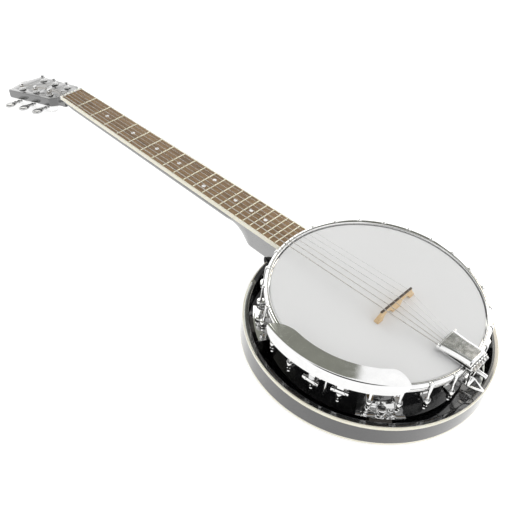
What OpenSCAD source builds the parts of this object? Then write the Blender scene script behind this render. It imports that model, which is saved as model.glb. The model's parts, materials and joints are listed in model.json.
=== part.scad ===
// Six-string resonator banjo.
// Frame: origin at the centre of the resonator's flat back, +Y towards the headstock,
// +X towards the treble side, +Z out through the drum head. Millimetres.

/* [Pot] */
// Outer radius of the tone ring, which the drum head is stretched over
tone_r = 139.2; // [138.8:0.1:139.2]
// Height of the tension hoop's top above the flat back
hoop_top = 88; // [88:0.5:90]
// Outer radius of the wooden rim
rim_r = 138; // [137.5:0.1:138]
// Wall thickness of the wooden rim
rim_wall = 10; // [8:0.5:11]
// Angle between neighbouring hooks
hook_pitch = 13.75; // [13.5:0.05:13.9]
// Number of hooks on each side of the neck
hooks_per_side = 12; // [8:1:12]

/* [Resonator] */
// Outer radius of the resonator
res_r = 170; // [169:0.5:172]
// Thickness of the resonator's side wall
res_wall = 8.5; // [8:0.5:9]
// Height of the resonator's top edge
res_top = 38.8; // [38:0.2:39.4]
// Rise of the resonator's back from its flat centre to its edge
back_rise = 4.5; // [3:0.5:5]
// Radius of the flat centre of the back
back_flat_r = 140; // [120:5:145]

/* [Neck] */
// Distance from the nut to the bridge
scale_len = 648; // [640:1:650]
// Number of frets
fret_count = 22; // [19:1:22]
// Neck width at the nut, with bindings
nut_w = 41; // [40:0.5:43]
// Fingerboard width at the hoop, with bindings
body_w = 57; // [54:0.5:58]
// Fall of the neck from the hoop to the nut, in degrees
neck_tilt = 1.72; // [1.6:0.01:1.8]
// Backward angle of the headstock face from the pot's plane, in degrees
head_angle = 18.5; // [18:0.5:20]

/* [Strings] */
// Spread of the outer strings at the nut
nut_spread = 34; // [32:0.5:35]
// Spread of the outer strings at the bridge
bridge_spread = 51.8; // [50:0.2:52]
// Spread of the outer strings at the tailpiece
tail_spread = 28; // [26:1:28]
// Height of the bridge above the drum head
bridge_h = 15; // [14:0.5:16]

/* [Hidden] */
$fn = 96;

// Shared heights of the pot
head_z = hoop_top - 2;
hoop_h = 8;
hoop_in = 141;
hoop_out = 147.5;
flesh_r = 145.3;
rim_z0 = 14;
rim_z1 = hoop_top - 13;
rod_z = [40, 62];
rod_r = 4.5;
bolt_r = 3;

// Hooks, shoes and plates stand at fixed angles around the pot
hook_a0 = 15;
hook_angles = [for (k = [0:hooks_per_side - 1], s = [-1, 1]) 90 + s * (hook_a0 + hook_pitch * k)];
plate_angles = [for (k = [2.5, 8.5], s = [-1, 1]) 90 + s * (hook_a0 + hook_pitch * k)];
hook_r = 148.9;
hook_rod_r = 1.9;
shoe_z0 = 54;
shoe_h = 7.5;
shoe_screw_z = 58;
plate_z = 36;
plate_bolt_z = 45;
thumb_r = 149;

// Neck and headstock frames
nut_y = scale_len - 26;
nut_z = 71.5;
board_t = 6;
board_end_r = 148;
board_len = nut_y - board_end_r + 3;
binding_t = 1.8;
heel_z = 29.5;
heel_y = 241;
heel_foot = 10.5;
nut_t = 5;
head_t = 14.5;
veneer_t = 1.2;
face_drop = 5;

// Tuners: post places measured from the nut along the headstock face
post_x = [18, 19.2, 21.6];
post_s = [33, 71, 108.5];
post_r = 3;
post_top = 10.5;
run_gap = 0.05;
worm_z = -20.5;
worm_pitch = 2.827;
worm_r = 2.4;
wheel_teeth = 14;
wheel_r = 6.3;
tooth = 0.75;
mesh_gap = 0.5;
worm_s = worm_r + wheel_r + mesh_gap;

// Tailpiece hinge
pin_y = -104;
pin_z = hoop_top + 5;
pin_r = 1;

// Armrest, drawn about its own centre, which lies off the pot's axis
arm_c = [-3.2, 7.9];
arm_in = 129.5;
arm_out = 155.4;
arm_top = hoop_top + 7;
arm_t = 1.3;
arm_skirt = 17.5;

// Strings from bass to treble
string_r = [0.6, 0.48, 0.38, 0.3, 0.22, 0.16];
bridge_y = nut_y - scale_len;

function lerp(a, b, t) = a + (b - a) * t;
function smooth(t) = t <= 0 ? 0 : t >= 1 ? 1 : t * t * (3 - 2 * t);
function board_z(y) = nut_z + (nut_y - y) * tan(neck_tilt);
function board_w(y) = lerp(nut_w, body_w, (nut_y - y) / (nut_y - board_end_r));
function fret_pos(n) = scale_len * (1 - pow(2, -n / 12));
function string_x(i, spread) = spread * (i / 5 - 0.5);
function arc_points(c, r, a0, a1, n) =
    [for (i = [0:n]) c + r * [cos(lerp(a0, a1, i / n)), sin(lerp(a0, a1, i / n))]];

module ring(r_in, r_out, z0, z1) {
    difference() {
        translate([0, 0, z0]) cylinder(r = r_out, h = z1 - z0);
        translate([0, 0, z0 - 1]) cylinder(r = r_in, h = z1 - z0 + 2);
    }
}

// A cylinder that lies along the radius, from r0 to r1 at height z
module radial_rod(r0, r1, z, r) {
    translate([r0, 0, z]) rotate([0, 90, 0]) cylinder(r = r, h = r1 - r0);
}

module at_angles(list) {
    for (a = list) rotate([0, 0, a]) children();
}

module in_neck() {
    translate([0, nut_y, nut_z]) rotate([-neck_tilt, 0, 0]) children();
}

module in_head() {
    translate([0, nut_y + nut_t, nut_z - face_drop]) rotate([-head_angle, 0, 0]) children();
}

// Tuner i: 1 to 3 run up the bass side from the nut, 4 to 6 up the treble side
module at_tuner(i) {
    side = i <= 3 ? -1 : 1;
    k = (i - 1) % 3;
    in_head() translate([side * post_x[k], post_s[k], 0])
        mirror([side < 0 ? 1 : 0, 0, 0]) children();
}

// ---------------------------------------------------------------- resonator

notch_w = 44;
notch_z = heel_z - 4;

module neck_notch() {
    translate([-notch_w / 2, 150, notch_z]) cube([notch_w, 30, 40]);
}

bind_h = 4.5;
bind_r = res_r - binding_t;

module resonator_wall() {
    color("black") difference() {
        union() {
            ring(res_r - res_wall, res_r, back_rise + 4, res_top - bind_h);
            ring(res_r - res_wall, bind_r, res_top - bind_h - 1, res_top);
        }
        neck_notch();
    }
}

module resonator_back() {
    t_wall = (res_r - res_wall - back_flat_r) / (bind_r - back_flat_r);
    outside = [for (i = [0:8]) [lerp(back_flat_r, bind_r, i / 8), back_rise * pow(i / 8, 2)]];
    inside = [for (i = [8:-1:1])
        [lerp(back_flat_r, bind_r, t_wall * i / 8), 4 + (back_rise) * pow(i / 8, 2)]];
    color("black") rotate_extrude()
        polygon(concat([[0, 4], [0, 0]], outside, [[bind_r, back_rise + 4]], inside,
            [[back_flat_r, 4]]));
}

module resonator_top_binding() {
    color("ivory") difference() {
        rotate_extrude() polygon([[bind_r, res_top - bind_h], [res_r, res_top - bind_h],
            [res_r, res_top - 0.8], [res_r - 0.8, res_top], [bind_r, res_top]]);
        neck_notch();
    }
}

module resonator_bottom_binding() {
    color("ivory") rotate_extrude() polygon([[bind_r, back_rise], [bind_r + 1, back_rise],
        [res_r, back_rise + 1], [res_r, back_rise + 4], [bind_r, back_rise + 4]]);
}

// Wooden blocks inside the wall, which the thumb screws go into
module resonator_lugs() {
    color("saddlebrown") at_angles(plate_angles) difference() {
        intersection() {
            translate([143, -14, 18]) cube([20, 28, plate_z - 18]);
            cylinder(r = res_r - res_wall - 0.1, h = 60);
        }
        translate([thumb_r, 0, 24]) cylinder(r = 2.6, h = 20, $fn = 32);
    }
}

// L-shaped plates bolted to the rim, resting on the lugs
module resonator_plates() {
    color("silver") at_angles(plate_angles) difference() {
        union() {
            rotate([0, 0, -11.4]) rotate_extrude(angle = 22.8)
                translate([rim_r + 0.3, plate_z]) square([18, 2]);
            rotate([0, 0, -7]) rotate_extrude(angle = 14)
                translate([rim_r + 0.4, plate_z + 1]) square([2, 13]);
        }
        radial_rod(rim_r - 5, rim_r + 5, plate_bolt_z, 2.6);
        translate([thumb_r, 0, plate_z - 5]) cylinder(r = 2.6, h = 20, $fn = 32);
    }
}

module thumb_screws() {
    color("silver") at_angles(plate_angles) translate([thumb_r, 0, 0]) {
        translate([0, 0, plate_z - 10]) cylinder(r = 2.5, h = 14, $fn = 32);
        translate([0, 0, plate_z + 2]) cylinder(r = 4, h = 3, $fn = 32);
        translate([0, 0, plate_z + 5]) cylinder(r = 6, h = 8, $fn = 12);
    }
}

module plate_bolts() {
    color("silver") at_angles(plate_angles) {
        radial_rod(rim_r - rim_wall - 4, rim_r + 3, plate_bolt_z, 2.5, $fn = 32);
        radial_rod(rim_r + 2.4, rim_r + 5, plate_bolt_z, 4, $fn = 32);
        radial_rod(rim_r - rim_wall - 4, rim_r - rim_wall - 0.2, plate_bolt_z, 4, $fn = 6);
    }
}

// ---------------------------------------------------------------- pot

module rim() {
    color([0.08, 0.08, 0.09]) difference() {
        ring(rim_r - rim_wall, rim_r, rim_z0, rim_z1);
        at_angles(hook_angles)
            radial_rod(rim_r - rim_wall - 3, rim_r + 3, shoe_screw_z, 1.7, $fn = 24);
        at_angles(plate_angles)
            radial_rod(rim_r - rim_wall - 3, rim_r + 3, plate_bolt_z, 2.6, $fn = 24);
        for (z = rod_z, a = [90, 270]) rotate([0, 0, a])
            radial_rod(rim_r - rim_wall - 3, rim_r + 3, z, bolt_r + 0.1, $fn = 32);
    }
}

module tone_ring() {
    color("goldenrod") rotate_extrude() polygon([[tone_r - 9, rim_z1], [tone_r, rim_z1],
        [tone_r, head_z - 2.4], [tone_r - 0.4, head_z - 1.4], [tone_r - 1.2, head_z - 0.9],
        [tone_r - 3.5, head_z - 0.8], [tone_r - 5.5, head_z - 1.6], [tone_r - 9, head_z - 6]]);
}

// Head film: flat top, a collar down the tone ring and an edge tucked under the flesh hoop
module drum_head() {
    color("whitesmoke") rotate_extrude() polygon([[0, head_z - 0.75], [tone_r - 0.8, head_z - 0.75],
        [tone_r + 0.1, head_z - 1.6], [tone_r + 0.1, rim_z1 + 0.4], [flesh_r, rim_z1 + 0.4],
        [flesh_r, rim_z1 + 1], [tone_r + 0.8, rim_z1 + 1], [tone_r + 0.8, head_z - 1.2],
        [tone_r - 0.3, head_z], [0, head_z]]);
}

module flesh_hoop() {
    color("silver") ring(tone_r + 0.9, flesh_r, rim_z1 + 1.05, hoop_top - hoop_h - 0.05);
}

module tension_hoop() {
    z0 = hoop_top - hoop_h;
    color("silver") difference() {
        rotate_extrude() polygon([[hoop_in, z0], [hoop_out, z0], [hoop_out, hoop_top - 1],
            [hoop_out - 1, hoop_top], [hoop_in + 1, hoop_top], [hoop_in, hoop_top - 1]]);
        at_angles(hook_angles)
            translate([hoop_in + 3, -2.9, hoop_top - 1.15]) cube([10, 5.8, 5]);
    }
}

// Flat hooks that narrow to a threaded rod
module hooks() {
    tab_z = hoop_top - 1.1;
    color("silver") at_angles(hook_angles) {
        translate([hoop_in + 3.4, -2.5, tab_z]) cube([5.5, 5, 2.2]);
        translate([hoop_out + 0.4, 0, 0]) rotate([90, 0, 90]) linear_extrude(2)
            polygon([[-2.5, tab_z + 2.2], [-2.5, tab_z - 12], [-1.5, tab_z - 22],
                [1.5, tab_z - 22], [2.5, tab_z - 12], [2.5, tab_z + 2.2]]);
        translate([hook_r, 0, shoe_z0 - 11]) cylinder(r = hook_rod_r, h = 24, $fn = 24);
    }
}

module hook_nuts() {
    color("silver") at_angles(hook_angles) translate([hook_r, 0, shoe_z0 - 6.1]) difference() {
        cylinder(r = 4, h = 6, $fn = 6);
        translate([0, 0, -1]) cylinder(r = hook_rod_r + run_gap, h = 8, $fn = 24);
    }
}

module bracket_shoes() {
    seat = rim_r + 0.05;
    color("silver") at_angles(hook_angles) difference() {
        union() {
            translate([seat, -4.5, shoe_z0]) cube([hook_r - seat, 9, shoe_h]);
            translate([hook_r, 0, shoe_z0]) cylinder(r = 4.5, h = shoe_h, $fn = 32);
            translate([seat, -5, shoe_z0 - 3]) cube([2.6, 10, shoe_h + 6]);
        }
        translate([hook_r, 0, shoe_z0 - 1])
            cylinder(r = hook_rod_r + run_gap, h = shoe_h + 2, $fn = 24);
        radial_rod(seat - 1, seat + 5, shoe_screw_z, 1.65, $fn = 24);
    }
}

module shoe_screws() {
    inner = rim_r - rim_wall;
    color("silver") at_angles(hook_angles) {
        radial_rod(inner - 2, rim_r + 4.6, shoe_screw_z, 1.6, $fn = 24);
        radial_rod(inner - 3, inner - 0.15, shoe_screw_z, 3.4, $fn = 32);
    }
}

module coordinator_rods() {
    len = rim_r - rim_wall - 0.2;
    color("silver") for (z = rod_z) difference() {
        translate([0, -len, z]) rotate([-90, 0, 0]) cylinder(r = rod_r, h = 2 * len, $fn = 32);
        for (y = [-len - 1, len - 13]) translate([0, y, z]) rotate([-90, 0, 0])
            cylinder(r = bolt_r + 0.05, h = 14, $fn = 32);
    }
}

// Bolts at the tail, through the hanger and the rim into the rods
module rod_bolts() {
    seat = [0.1, plate_t + 0.4];
    color("silver") for (i = [0, 1]) translate([0, -rim_r - seat[i], rod_z[i]]) rotate([-90, 0, 0]) {
        cylinder(r = bolt_r, h = 22, $fn = 32);
        translate([0, 0, -4]) cylinder(r = 5.5, h = 4.1, $fn = 6);
    }
}

// Studs that hold the heel against the rim
module neck_bolts() {
    color("silver") for (z = rod_z) translate([0, rim_r - 22, z]) rotate([-90, 0, 0])
        cylinder(r = bolt_r, h = 50, $fn = 32);
}

// ---------------------------------------------------------------- neck

function neck_top(y) = board_z(y) - board_t - 0.02;
function neck_depth(y) = y > heel_y ? lerp(19, 15, (y - heel_y) / (nut_y - 30 - heel_y))
    : lerp(19, neck_top(y) - heel_z, smooth((heel_y - y) / 33));
function heel_share(y) = smooth((heel_y + 10 - y) / 38);

// One cross-section: flat on top, round below along the neck, tapering straight to a
// narrow foot where heel is 1
function neck_section(y, w, d, heel) = [for (i = [0:18])
    let (c = cos(10 * i), fall = pow(sin(10 * i), 0.9),
        flank = sign(c) * min(1, 2.6 * abs(c)) * lerp(w, heel_foot, fall))
    [lerp(w * c, flank, heel), y, neck_top(y) - d * fall]];

neck_ys = concat([127, 157, 183], [for (i = [0:13]) 198 + 4 * i],
    [for (i = [1:8]) heel_y + 42 * i]);
neck_sections = concat(
    [for (y = neck_ys) neck_section(y, board_w(y) / 2 - 0.2, neck_depth(y), heel_share(y))],
    [neck_section(nut_y, nut_w / 2 - 0.2, 12.5, 0), neck_section(nut_y + 4.5, nut_w / 2 - 0.4, 11, 0)]);

module neck_skin() {
    n = len(neck_sections);
    m = len(neck_sections[0]);
    sides = [for (i = [0:n - 2], j = [0:m - 1])
        let (k = (j + 1) % m)
        [i * m + j, (i + 1) * m + j, (i + 1) * m + k, i * m + k]];
    caps = [[for (j = [0:m - 1]) j], [for (j = [m - 1:-1:0]) (n - 1) * m + j]];
    polyhedron(points = [for (s = neck_sections, p = s) p], faces = concat(sides, caps));
}

head_w = 34;

// Half outline of the headstock, from the nut to its point
head_half = concat(
    [[nut_w / 2 - 0.3, -9], [nut_w / 2 - 0.3, 5]],
    [for (i = [0:6]) [lerp(nut_w / 2, 30, smooth(i / 6)), lerp(8, 22, i / 6)]],
    [[30.5, 58], [32.5, 95], [head_w, 133]],
    [for (i = [1:6]) let (t = i / 6) [head_w * (1 - t), 133 + 4 * t + 10 * t * t * t]]);
head_outline = concat(head_half, [for (i = [len(head_half) - 2:-1:0])
    [-head_half[i][0], head_half[i][1]]]);

module headstock_slab(z0, z1) {
    translate([0, 0, z0]) linear_extrude(z1 - z0) polygon(head_outline);
}

module post_holes(r, depth) {
    for (i = [1:6]) at_tuner(i) translate([0, 0, -depth]) cylinder(r = r, h = depth + 5, $fn = 48);
}

module neck() {
    color([0.1, 0.1, 0.11]) difference() {
        union() {
            neck_skin();
            difference() {
                in_head() headstock_slab(-head_t, -veneer_t);
                in_neck() translate([-40, -40, -board_t - 0.3]) cube([80, 40 + nut_t, 30]);
            }
        }
        translate([0, 0, 10]) cylinder(r = rim_r + 0.1, h = rim_z1 - 9.7);
        translate([0, 0, rim_z1 - 1]) cylinder(r = board_end_r, h = 40);
        post_holes(4.85, 30);
        for (i = [1:6]) at_tuner(i) translate([0, -11.5, -head_t - 1])
            cylinder(r = 1.3, h = 7, $fn = 24);
        for (z = rod_z) translate([0, rim_r - 10, z]) rotate([-90, 0, 0])
            cylinder(r = bolt_r + 0.05, h = 39, $fn = 32);
        in_neck() translate([-3.1, -440, -board_t - 9.1]) cube([6.2, 420, 20]);
    }
}

// Black plate under the foot of the heel
module heel_cap() {
    color("black") difference() {
        intersection() {
            translate([0, 0, heel_z - 3]) linear_extrude(2.9)
                polygon(concat([[19, 130]], arc_points([0, 166], 19, 0, 180, 16), [[-19, 130]]));
            translate([-30, 100, 0]) cube([60, 120, 60]);
        }
        translate([0, 0, 10]) cylinder(r = rim_r + 0.1, h = 60);
    }
}

module headstock_veneer() {
    color("black") difference() {
        in_head() headstock_slab(-veneer_t, 0);
        in_neck() translate([-40, -40, -board_t - 0.5]) cube([80, 40 + nut_t + 0.1, 30]);
        post_holes(4.85, 30);
        in_head() for (s = [4.5, 24]) translate([0, s, -5]) cylinder(r = 1.1, h = 10, $fn = 24);
    }
}

// Fingerboard outline, w narrower on each side and longer by e at each end
module board_outline(w, e) {
    edge = [for (y = [e, -board_len - e]) [lerp(nut_w, body_w, -y / board_len) / 2 - w, y]];
    polygon([edge[0], edge[1], [-edge[1][0], edge[1][1]], [-edge[0][0], edge[0][1]]]);
}

module hoop_cut() {
    translate([0, 0, rim_z1]) cylinder(r = board_end_r, h = 40);
}

fret_w = 2.2;
slot_w = 0.6;
dot_r = 3;
dots = concat([for (n = [3, 5, 7, 9, 15, 17, 19]) [n, 0]], [[12, -11], [12, 11]]);

module dot_cylinders(r, z, h) {
    for (d = dots) in_neck() translate([d[1], -(fret_pos(d[0]) + fret_pos(d[0] - 1)) / 2, z])
        cylinder(r = r, h = h, $fn = 32);
}

module fingerboard() {
    color([0.36, 0.24, 0.17]) difference() {
        in_neck() translate([0, 0, -board_t]) linear_extrude(board_t)
            board_outline(binding_t, 0);
        hoop_cut();
        for (n = [1:fret_count]) in_neck()
            translate([-40, -fret_pos(n) - slot_w / 2, -2]) cube([80, slot_w, 5]);
        dot_cylinders(dot_r, -1.5, 5);
    }
}

module fingerboard_binding() {
    color("ivory") difference() {
        in_neck() translate([0, 0, -board_t]) linear_extrude(board_t) board_outline(0, 0);
        in_neck() translate([0, 0, -board_t - 1]) linear_extrude(board_t + 2)
            board_outline(binding_t, 1);
        hoop_cut();
    }
}

// Each fret is a crowned wire with a tang in its slot
module frets() {
    color("lightgray") for (n = [1:fret_count]) {
        y = -fret_pos(n);
        half = lerp(nut_w, body_w, -y / board_len) / 2 - binding_t - 0.05;
        in_neck() {
            intersection() {
                translate([-half, y, -0.1]) rotate([0, 90, 0])
                    cylinder(r = fret_w / 2, h = 2 * half, $fn = 24);
                translate([-half, y - 2, 0.02]) cube([2 * half, 4, 3]);
            }
            translate([-half, y - slot_w / 2 + 0.03, -1.8]) cube([2 * half, slot_w - 0.06, 2]);
        }
    }
}

module inlay_dots() {
    color("white") dot_cylinders(dot_r - 0.02, -1.5, 1.52);
}

module nut() {
    land = 1.7;
    fall = 0.31;
    color("ivory") in_neck() difference() {
        translate([-nut_w / 2, 0, 0]) rotate([90, 0, 90]) linear_extrude(nut_w)
            polygon([[0.05, -board_t], [0.05, land], [nut_t / 2, land], [nut_t - 0.15, 0],
                [nut_t - 0.15, -board_t]]);
        for (i = [0:5]) {
            half = string_r[i] + 0.4;
            low = 1.4 - string_r[i];
            translate([string_x(i, nut_spread) - half, 0, 0]) rotate([90, 0, 90])
                linear_extrude(2 * half) polygon([[-1, low], [nut_t / 2, low],
                    [nut_t + 1, low - fall * (nut_t / 2 + 1)], [nut_t + 1, 5], [-1, 5]]);
        }
    }
}

module truss_rod() {
    color("dimgray") in_neck() {
        translate([-3, -439, -board_t - 9]) cube([6, 410, 8.9]);
        translate([0, -30, -board_t - 4.6]) rotate([-90, 0, 0])
            cylinder(r = 2.5, h = 9.5, $fn = 6);
    }
}

module truss_rod_cover() {
    color("black") in_head() difference() {
        translate([0, 0, 0.02]) linear_extrude(1.6) polygon([[-9, 1.5], [9, 1.5], [8, 14],
            [5, 22], [3, 27], [-3, 27], [-5, 22], [-8, 14]]);
        for (s = [4.5, 24]) translate([0, s, -5]) cylinder(r = 1.1, h = 10, $fn = 24);
    }
}

module cover_screws() {
    color("silver") in_head() for (s = [4.5, 24]) translate([0, s, 0]) {
        translate([0, 0, -1.1]) cylinder(r = 1, h = 2.8, $fn = 24);
        translate([0, 0, 1.65]) cylinder(r = 1.9, h = 0.9, $fn = 24);
    }
}

// ---------------------------------------------------------------- tuners

hous_top = -head_t - 0.05;
hous_bot = -25;
lid_bot = -27;

// Plan of the sealed housing: round at the post, square over the worm, an ear for the screw
module housing_plan() {
    union() {
        circle(r = 8.6, $fn = 48);
        translate([-8.5, 0]) square([17, worm_s + 5]);
        translate([-3.4, -12]) square([6.8, 8]);
    }
}

module tuner_housings() {
    color("silver") for (i = [1:6]) at_tuner(i) difference() {
        union() {
            translate([0, 0, hous_bot]) linear_extrude(hous_top - hous_bot) difference() {
                housing_plan();
                translate([-5, -16]) square([10, 7.4]);
            }
            translate([-3.4, -14.5, hous_top - 2]) cube([6.8, 8, 2]);
        }
        translate([0, 0, hous_bot - 1])
            cylinder(r = wheel_r + tooth + 0.55, h = worm_z - hous_bot + 3.3, $fn = 48);
        translate([-5.4, worm_s, worm_z]) rotate([0, 90, 0]) cylinder(r = 3.7, h = 10.8, $fn = 48);
        translate([5, worm_s, worm_z]) rotate([0, 90, 0])
            cylinder(r = 2 + run_gap, h = 6, $fn = 48);
        translate([-7.5, worm_s, worm_z]) rotate([0, 90, 0])
            cylinder(r = 1.5 + run_gap, h = 4, $fn = 48);
        translate([0, 0, -20]) cylinder(r = post_r + run_gap, h = 12, $fn = 48);
        translate([0, -11.5, -20]) cylinder(r = 1.3, h = 12, $fn = 24);
    }
}

// Lid with the lower bearing of the post
module tuner_lids() {
    color("silver") for (i = [1:6]) at_tuner(i) difference() {
        translate([0, 0, lid_bot]) linear_extrude(hous_bot - lid_bot - 0.05) difference() {
            housing_plan();
            translate([-5, -16]) square([10, 7.4]);
        }
        translate([0, 0, lid_bot + 0.8]) cylinder(r = 2 + run_gap, h = 4, $fn = 48);
    }
}

module tuner_bushings() {
    color("silver") for (i = [1:6]) at_tuner(i) difference() {
        union() {
            translate([0, 0, -head_t + 0.05]) cylinder(r = 4.8, h = head_t, $fn = 48);
            translate([0, 0, 0.05]) cylinder(r = 6, h = 1, $fn = 48);
            translate([0, 0, 1.05]) cylinder(r = 5.3, h = 1.4, $fn = 6);
        }
        translate([0, 0, -20]) cylinder(r = post_r + run_gap, h = 30, $fn = 48);
    }
}

module tuner_screws() {
    color("silver") for (i = [1:6]) at_tuner(i) translate([0, -11.5, 0]) {
        translate([0, 0, -head_t - 3]) cylinder(r = 1.2, h = 8, $fn = 24);
        translate([0, 0, -head_t - 3.6]) cylinder(r = 2.3, h = 1.5, $fn = 24);
    }
}

// Twisted eccentric core: a single-start worm thread
module worm() {
    turns = 3;
    translate([-turns * worm_pitch / 2, worm_s, worm_z]) rotate([0, 90, 0])
        linear_extrude(height = turns * worm_pitch, twist = -360 * turns, slices = 12 * turns, $fn = 14)
            translate([0, -tooth]) circle(r = worm_r);
}

// Oval button plate, with its long side across the shaft
module button_plate(a, b, t) {
    linear_extrude(t, center = true)
        polygon([for (i = [0:31]) [a * cos(i * 11.25), b * sin(i * 11.25)]]);
}

module tuner_key(i) {
    reach = 24.5;
    color("silver") at_tuner(i) {
        translate([4.24, worm_s, worm_z]) rotate([0, 90, 0]) cylinder(r = 2, h = reach - 12.5, $fn = 48);
        translate([-7, worm_s, worm_z]) rotate([0, 90, 0]) cylinder(r = 1.5, h = 2.76, $fn = 48);
        worm();
        translate([reach, worm_s, worm_z]) {
            button_plate(9, 9.5, 4);
            button_plate(7.7, 8.2, 6);
        }
        translate([reach - 10, worm_s, worm_z]) rotate([0, 90, 0]) cylinder(r = 3, h = 4, $fn = 32);
    }
}

// Post with its worm wheel and string hole
module string_post(i) {
    color("silver") at_tuner(i) {
        difference() {
            translate([0, 0, hous_bot + 0.4]) cylinder(r = post_r, h = post_top - hous_bot - 0.4, $fn = 48);
            translate([0, -6, 7]) rotate([-90, 0, 0]) cylinder(r = 0.9, h = 12, $fn = 24);
            translate([0, 0, hous_bot]) cylinder(r = 10, h = 1, $fn = 24);
        }
        translate([0, 0, hous_bot - 1]) cylinder(r = 2, h = 3, $fn = 48);
        translate([0, 0, worm_z - 1.5]) linear_extrude(3) polygon([for (k = [0:83])
            let (a = k * 360 / 84, r = wheel_r + tooth * cos(wheel_teeth * (a - 90)))
            [r * cos(a), r * sin(a)]]);
    }
}

// ---------------------------------------------------------------- tailpiece

tail_half = 18.2;
comb_half = 16.8;
plate_t = 1.6;
comb_y = -152.6;
tail_screw_z = hoop_top - 10.5;

// Floor, hinge ears and the slotted upright at the tail
module tailpiece_base() {
    floor_z = hoop_top + 1;
    color("silver") difference() {
        union() {
            translate([-tail_half, comb_y, floor_z])
                cube([2 * tail_half, -comb_y + pin_y + 3, plate_t]);
            translate([0, comb_y + plate_t, 0]) rotate([90, 0, 0]) linear_extrude(plate_t)
                polygon([[-9, rod_z[1] - 7.4], [9, rod_z[1] - 7.4], [comb_half, hoop_top - 4],
                    [comb_half, hoop_top + 6.2], [-comb_half, hoop_top + 6.2],
                    [-comb_half, hoop_top - 4]]);
            for (x = [-17.8, 16.4]) {
                translate([x, pin_y - 2, floor_z + 0.5]) cube([1.4, 4, pin_z - floor_z - 0.5]);
                translate([x, pin_y, pin_z]) rotate([0, 90, 0]) cylinder(r = 2, h = 1.4, $fn = 32);
            }
        }
        translate([-30, pin_y, pin_z]) rotate([0, 90, 0])
            cylinder(r = pin_r + 0.01, h = 60, $fn = 32);
        for (i = [0:5]) translate([string_x(i, tail_spread) - 0.8, comb_y - 1, floor_z + 1.65])
            cube([1.6, 1 + plate_t + 0.1, 8]);
        for (i = [0:5]) translate([string_x(i, tail_spread) - 0.8, comb_y - 1, hoop_top - 7])
            cube([1.6, 4, 6]);
        translate([0, comb_y - 1, tail_screw_z]) rotate([-90, 0, 0])
            cylinder(r = 2.05, h = 4, $fn = 32);
    }
}

cover_low = hoop_top + 3;
cover_top = hoop_top + 8.6;
cover_rear = -150.4;
cover_front = pin_y - 0.6;
cover_half = [20, 17];
cover_t = 1.4;
cover_tilt = 3.7;

// Outline of the cover, narrower at the rear, drawn in by d at the sides and rear
module cover_plan(d, ahead) {
    front = cover_half[0] - d;
    rear = cover_half[1] - d;
    polygon([[-front, cover_front + ahead], [-front, cover_front], [-rear, cover_rear + d],
        [rear, cover_rear + d], [front, cover_front], [front, cover_front + ahead]]);
}

// Shut, the cover rises a little towards its rear
module tailpiece_cover() {
    color("gainsboro") translate([0, pin_y, pin_z]) rotate([-cover_tilt, 0, 0])
        translate([0, -pin_y, -pin_z]) difference() {
            union() {
                difference() {
                    translate([0, 0, cover_low]) linear_extrude(cover_top - cover_low)
                        cover_plan(0, 0);
                    translate([0, 0, cover_low - 1]) linear_extrude(cover_top - cover_low - 0.5)
                        cover_plan(cover_t, 1);
                }
                for (x = [-cover_half[0], cover_half[0] - cover_t]) translate([x, pin_y, pin_z])
                    rotate([0, 90, 0]) cylinder(r = 2.4, h = cover_t, $fn = 32);
            }
            translate([-30, pin_y, pin_z]) rotate([0, 90, 0])
                cylinder(r = pin_r + run_gap, h = 60, $fn = 32);
        }
}

module tailpiece_pin() {
    color("silver") translate([0, pin_y, pin_z]) rotate([0, 90, 0]) {
        translate([0, 0, -20.4]) cylinder(r = pin_r, h = 40.8, $fn = 32);
        for (z = [-21.2, 20.3]) translate([0, 0, z]) cylinder(r = 1.9, h = 0.9, $fn = 32);
    }
}

// Bracket bolted to the rim, with a triangular stay that reaches back over the resonator
module tailpiece_hanger() {
    shelf_z = rod_z[1] - 9.05;
    tab_y = -rim_r - 0.3;
    color("silver") difference() {
        union() {
            translate([-9, tab_y - plate_t, shelf_z]) cube([18, plate_t, 17]);
            translate([-9, comb_y, shelf_z]) cube([18, tab_y - comb_y, plate_t]);
            translate([0, 0, shelf_z]) linear_extrude(plate_t) difference() {
                polygon([[-9, comb_y + 0.5], [9, comb_y + 0.5], [1.2, -171.5], [-1.2, -171.5]]);
                polygon([[-6.6, comb_y - 1.5], [6.6, comb_y - 1.5], [0, -168]]);
            }
        }
        translate([0, tab_y - 5, rod_z[1]]) rotate([-90, 0, 0])
            cylinder(r = bolt_r + 0.1, h = 10, $fn = 32);
    }
}

module tailpiece_screw() {
    color("silver") translate([0, 0, tail_screw_z]) rotate([90, 0, 0]) {
        translate([0, 0, flesh_r + 0.3]) cylinder(r = 2, h = 15, $fn = 32);
        translate([0, 0, -comb_y + 2.4]) cylinder(r = 2.9, h = 12.6, $fn = 32);
    }
}

// ---------------------------------------------------------------- armrest

// Both ends run out to a tip at the fold between top and skirt
arm_a = [161, 234.3];
arm_run = [12.3, 6.5];
arm_fold = arm_out - 1;
fold_drop = 3;

// Point on the rounded end of the top, t from 0 at the inner edge to 1 at the tip
function arm_end(a, run, t) =
    let(angle = a + run * (1 - sin(90 * t)), r = arm_in + (arm_fold - arm_in) * (1 - cos(90 * t)))
    [r * cos(angle), r * sin(angle)];

arm_plan = concat(
    arc_points([0, 0], arm_in, arm_a[0] + arm_run[0], arm_a[1] - arm_run[1], 24),
    [for (i = [1:8]) arm_end(arm_a[1], -arm_run[1], i / 8)],
    arc_points([0, 0], 160, arm_a[1], arm_a[0], 28),
    [for (i = [8:-1:1]) arm_end(arm_a[0], arm_run[0], i / 8)]);

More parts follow.
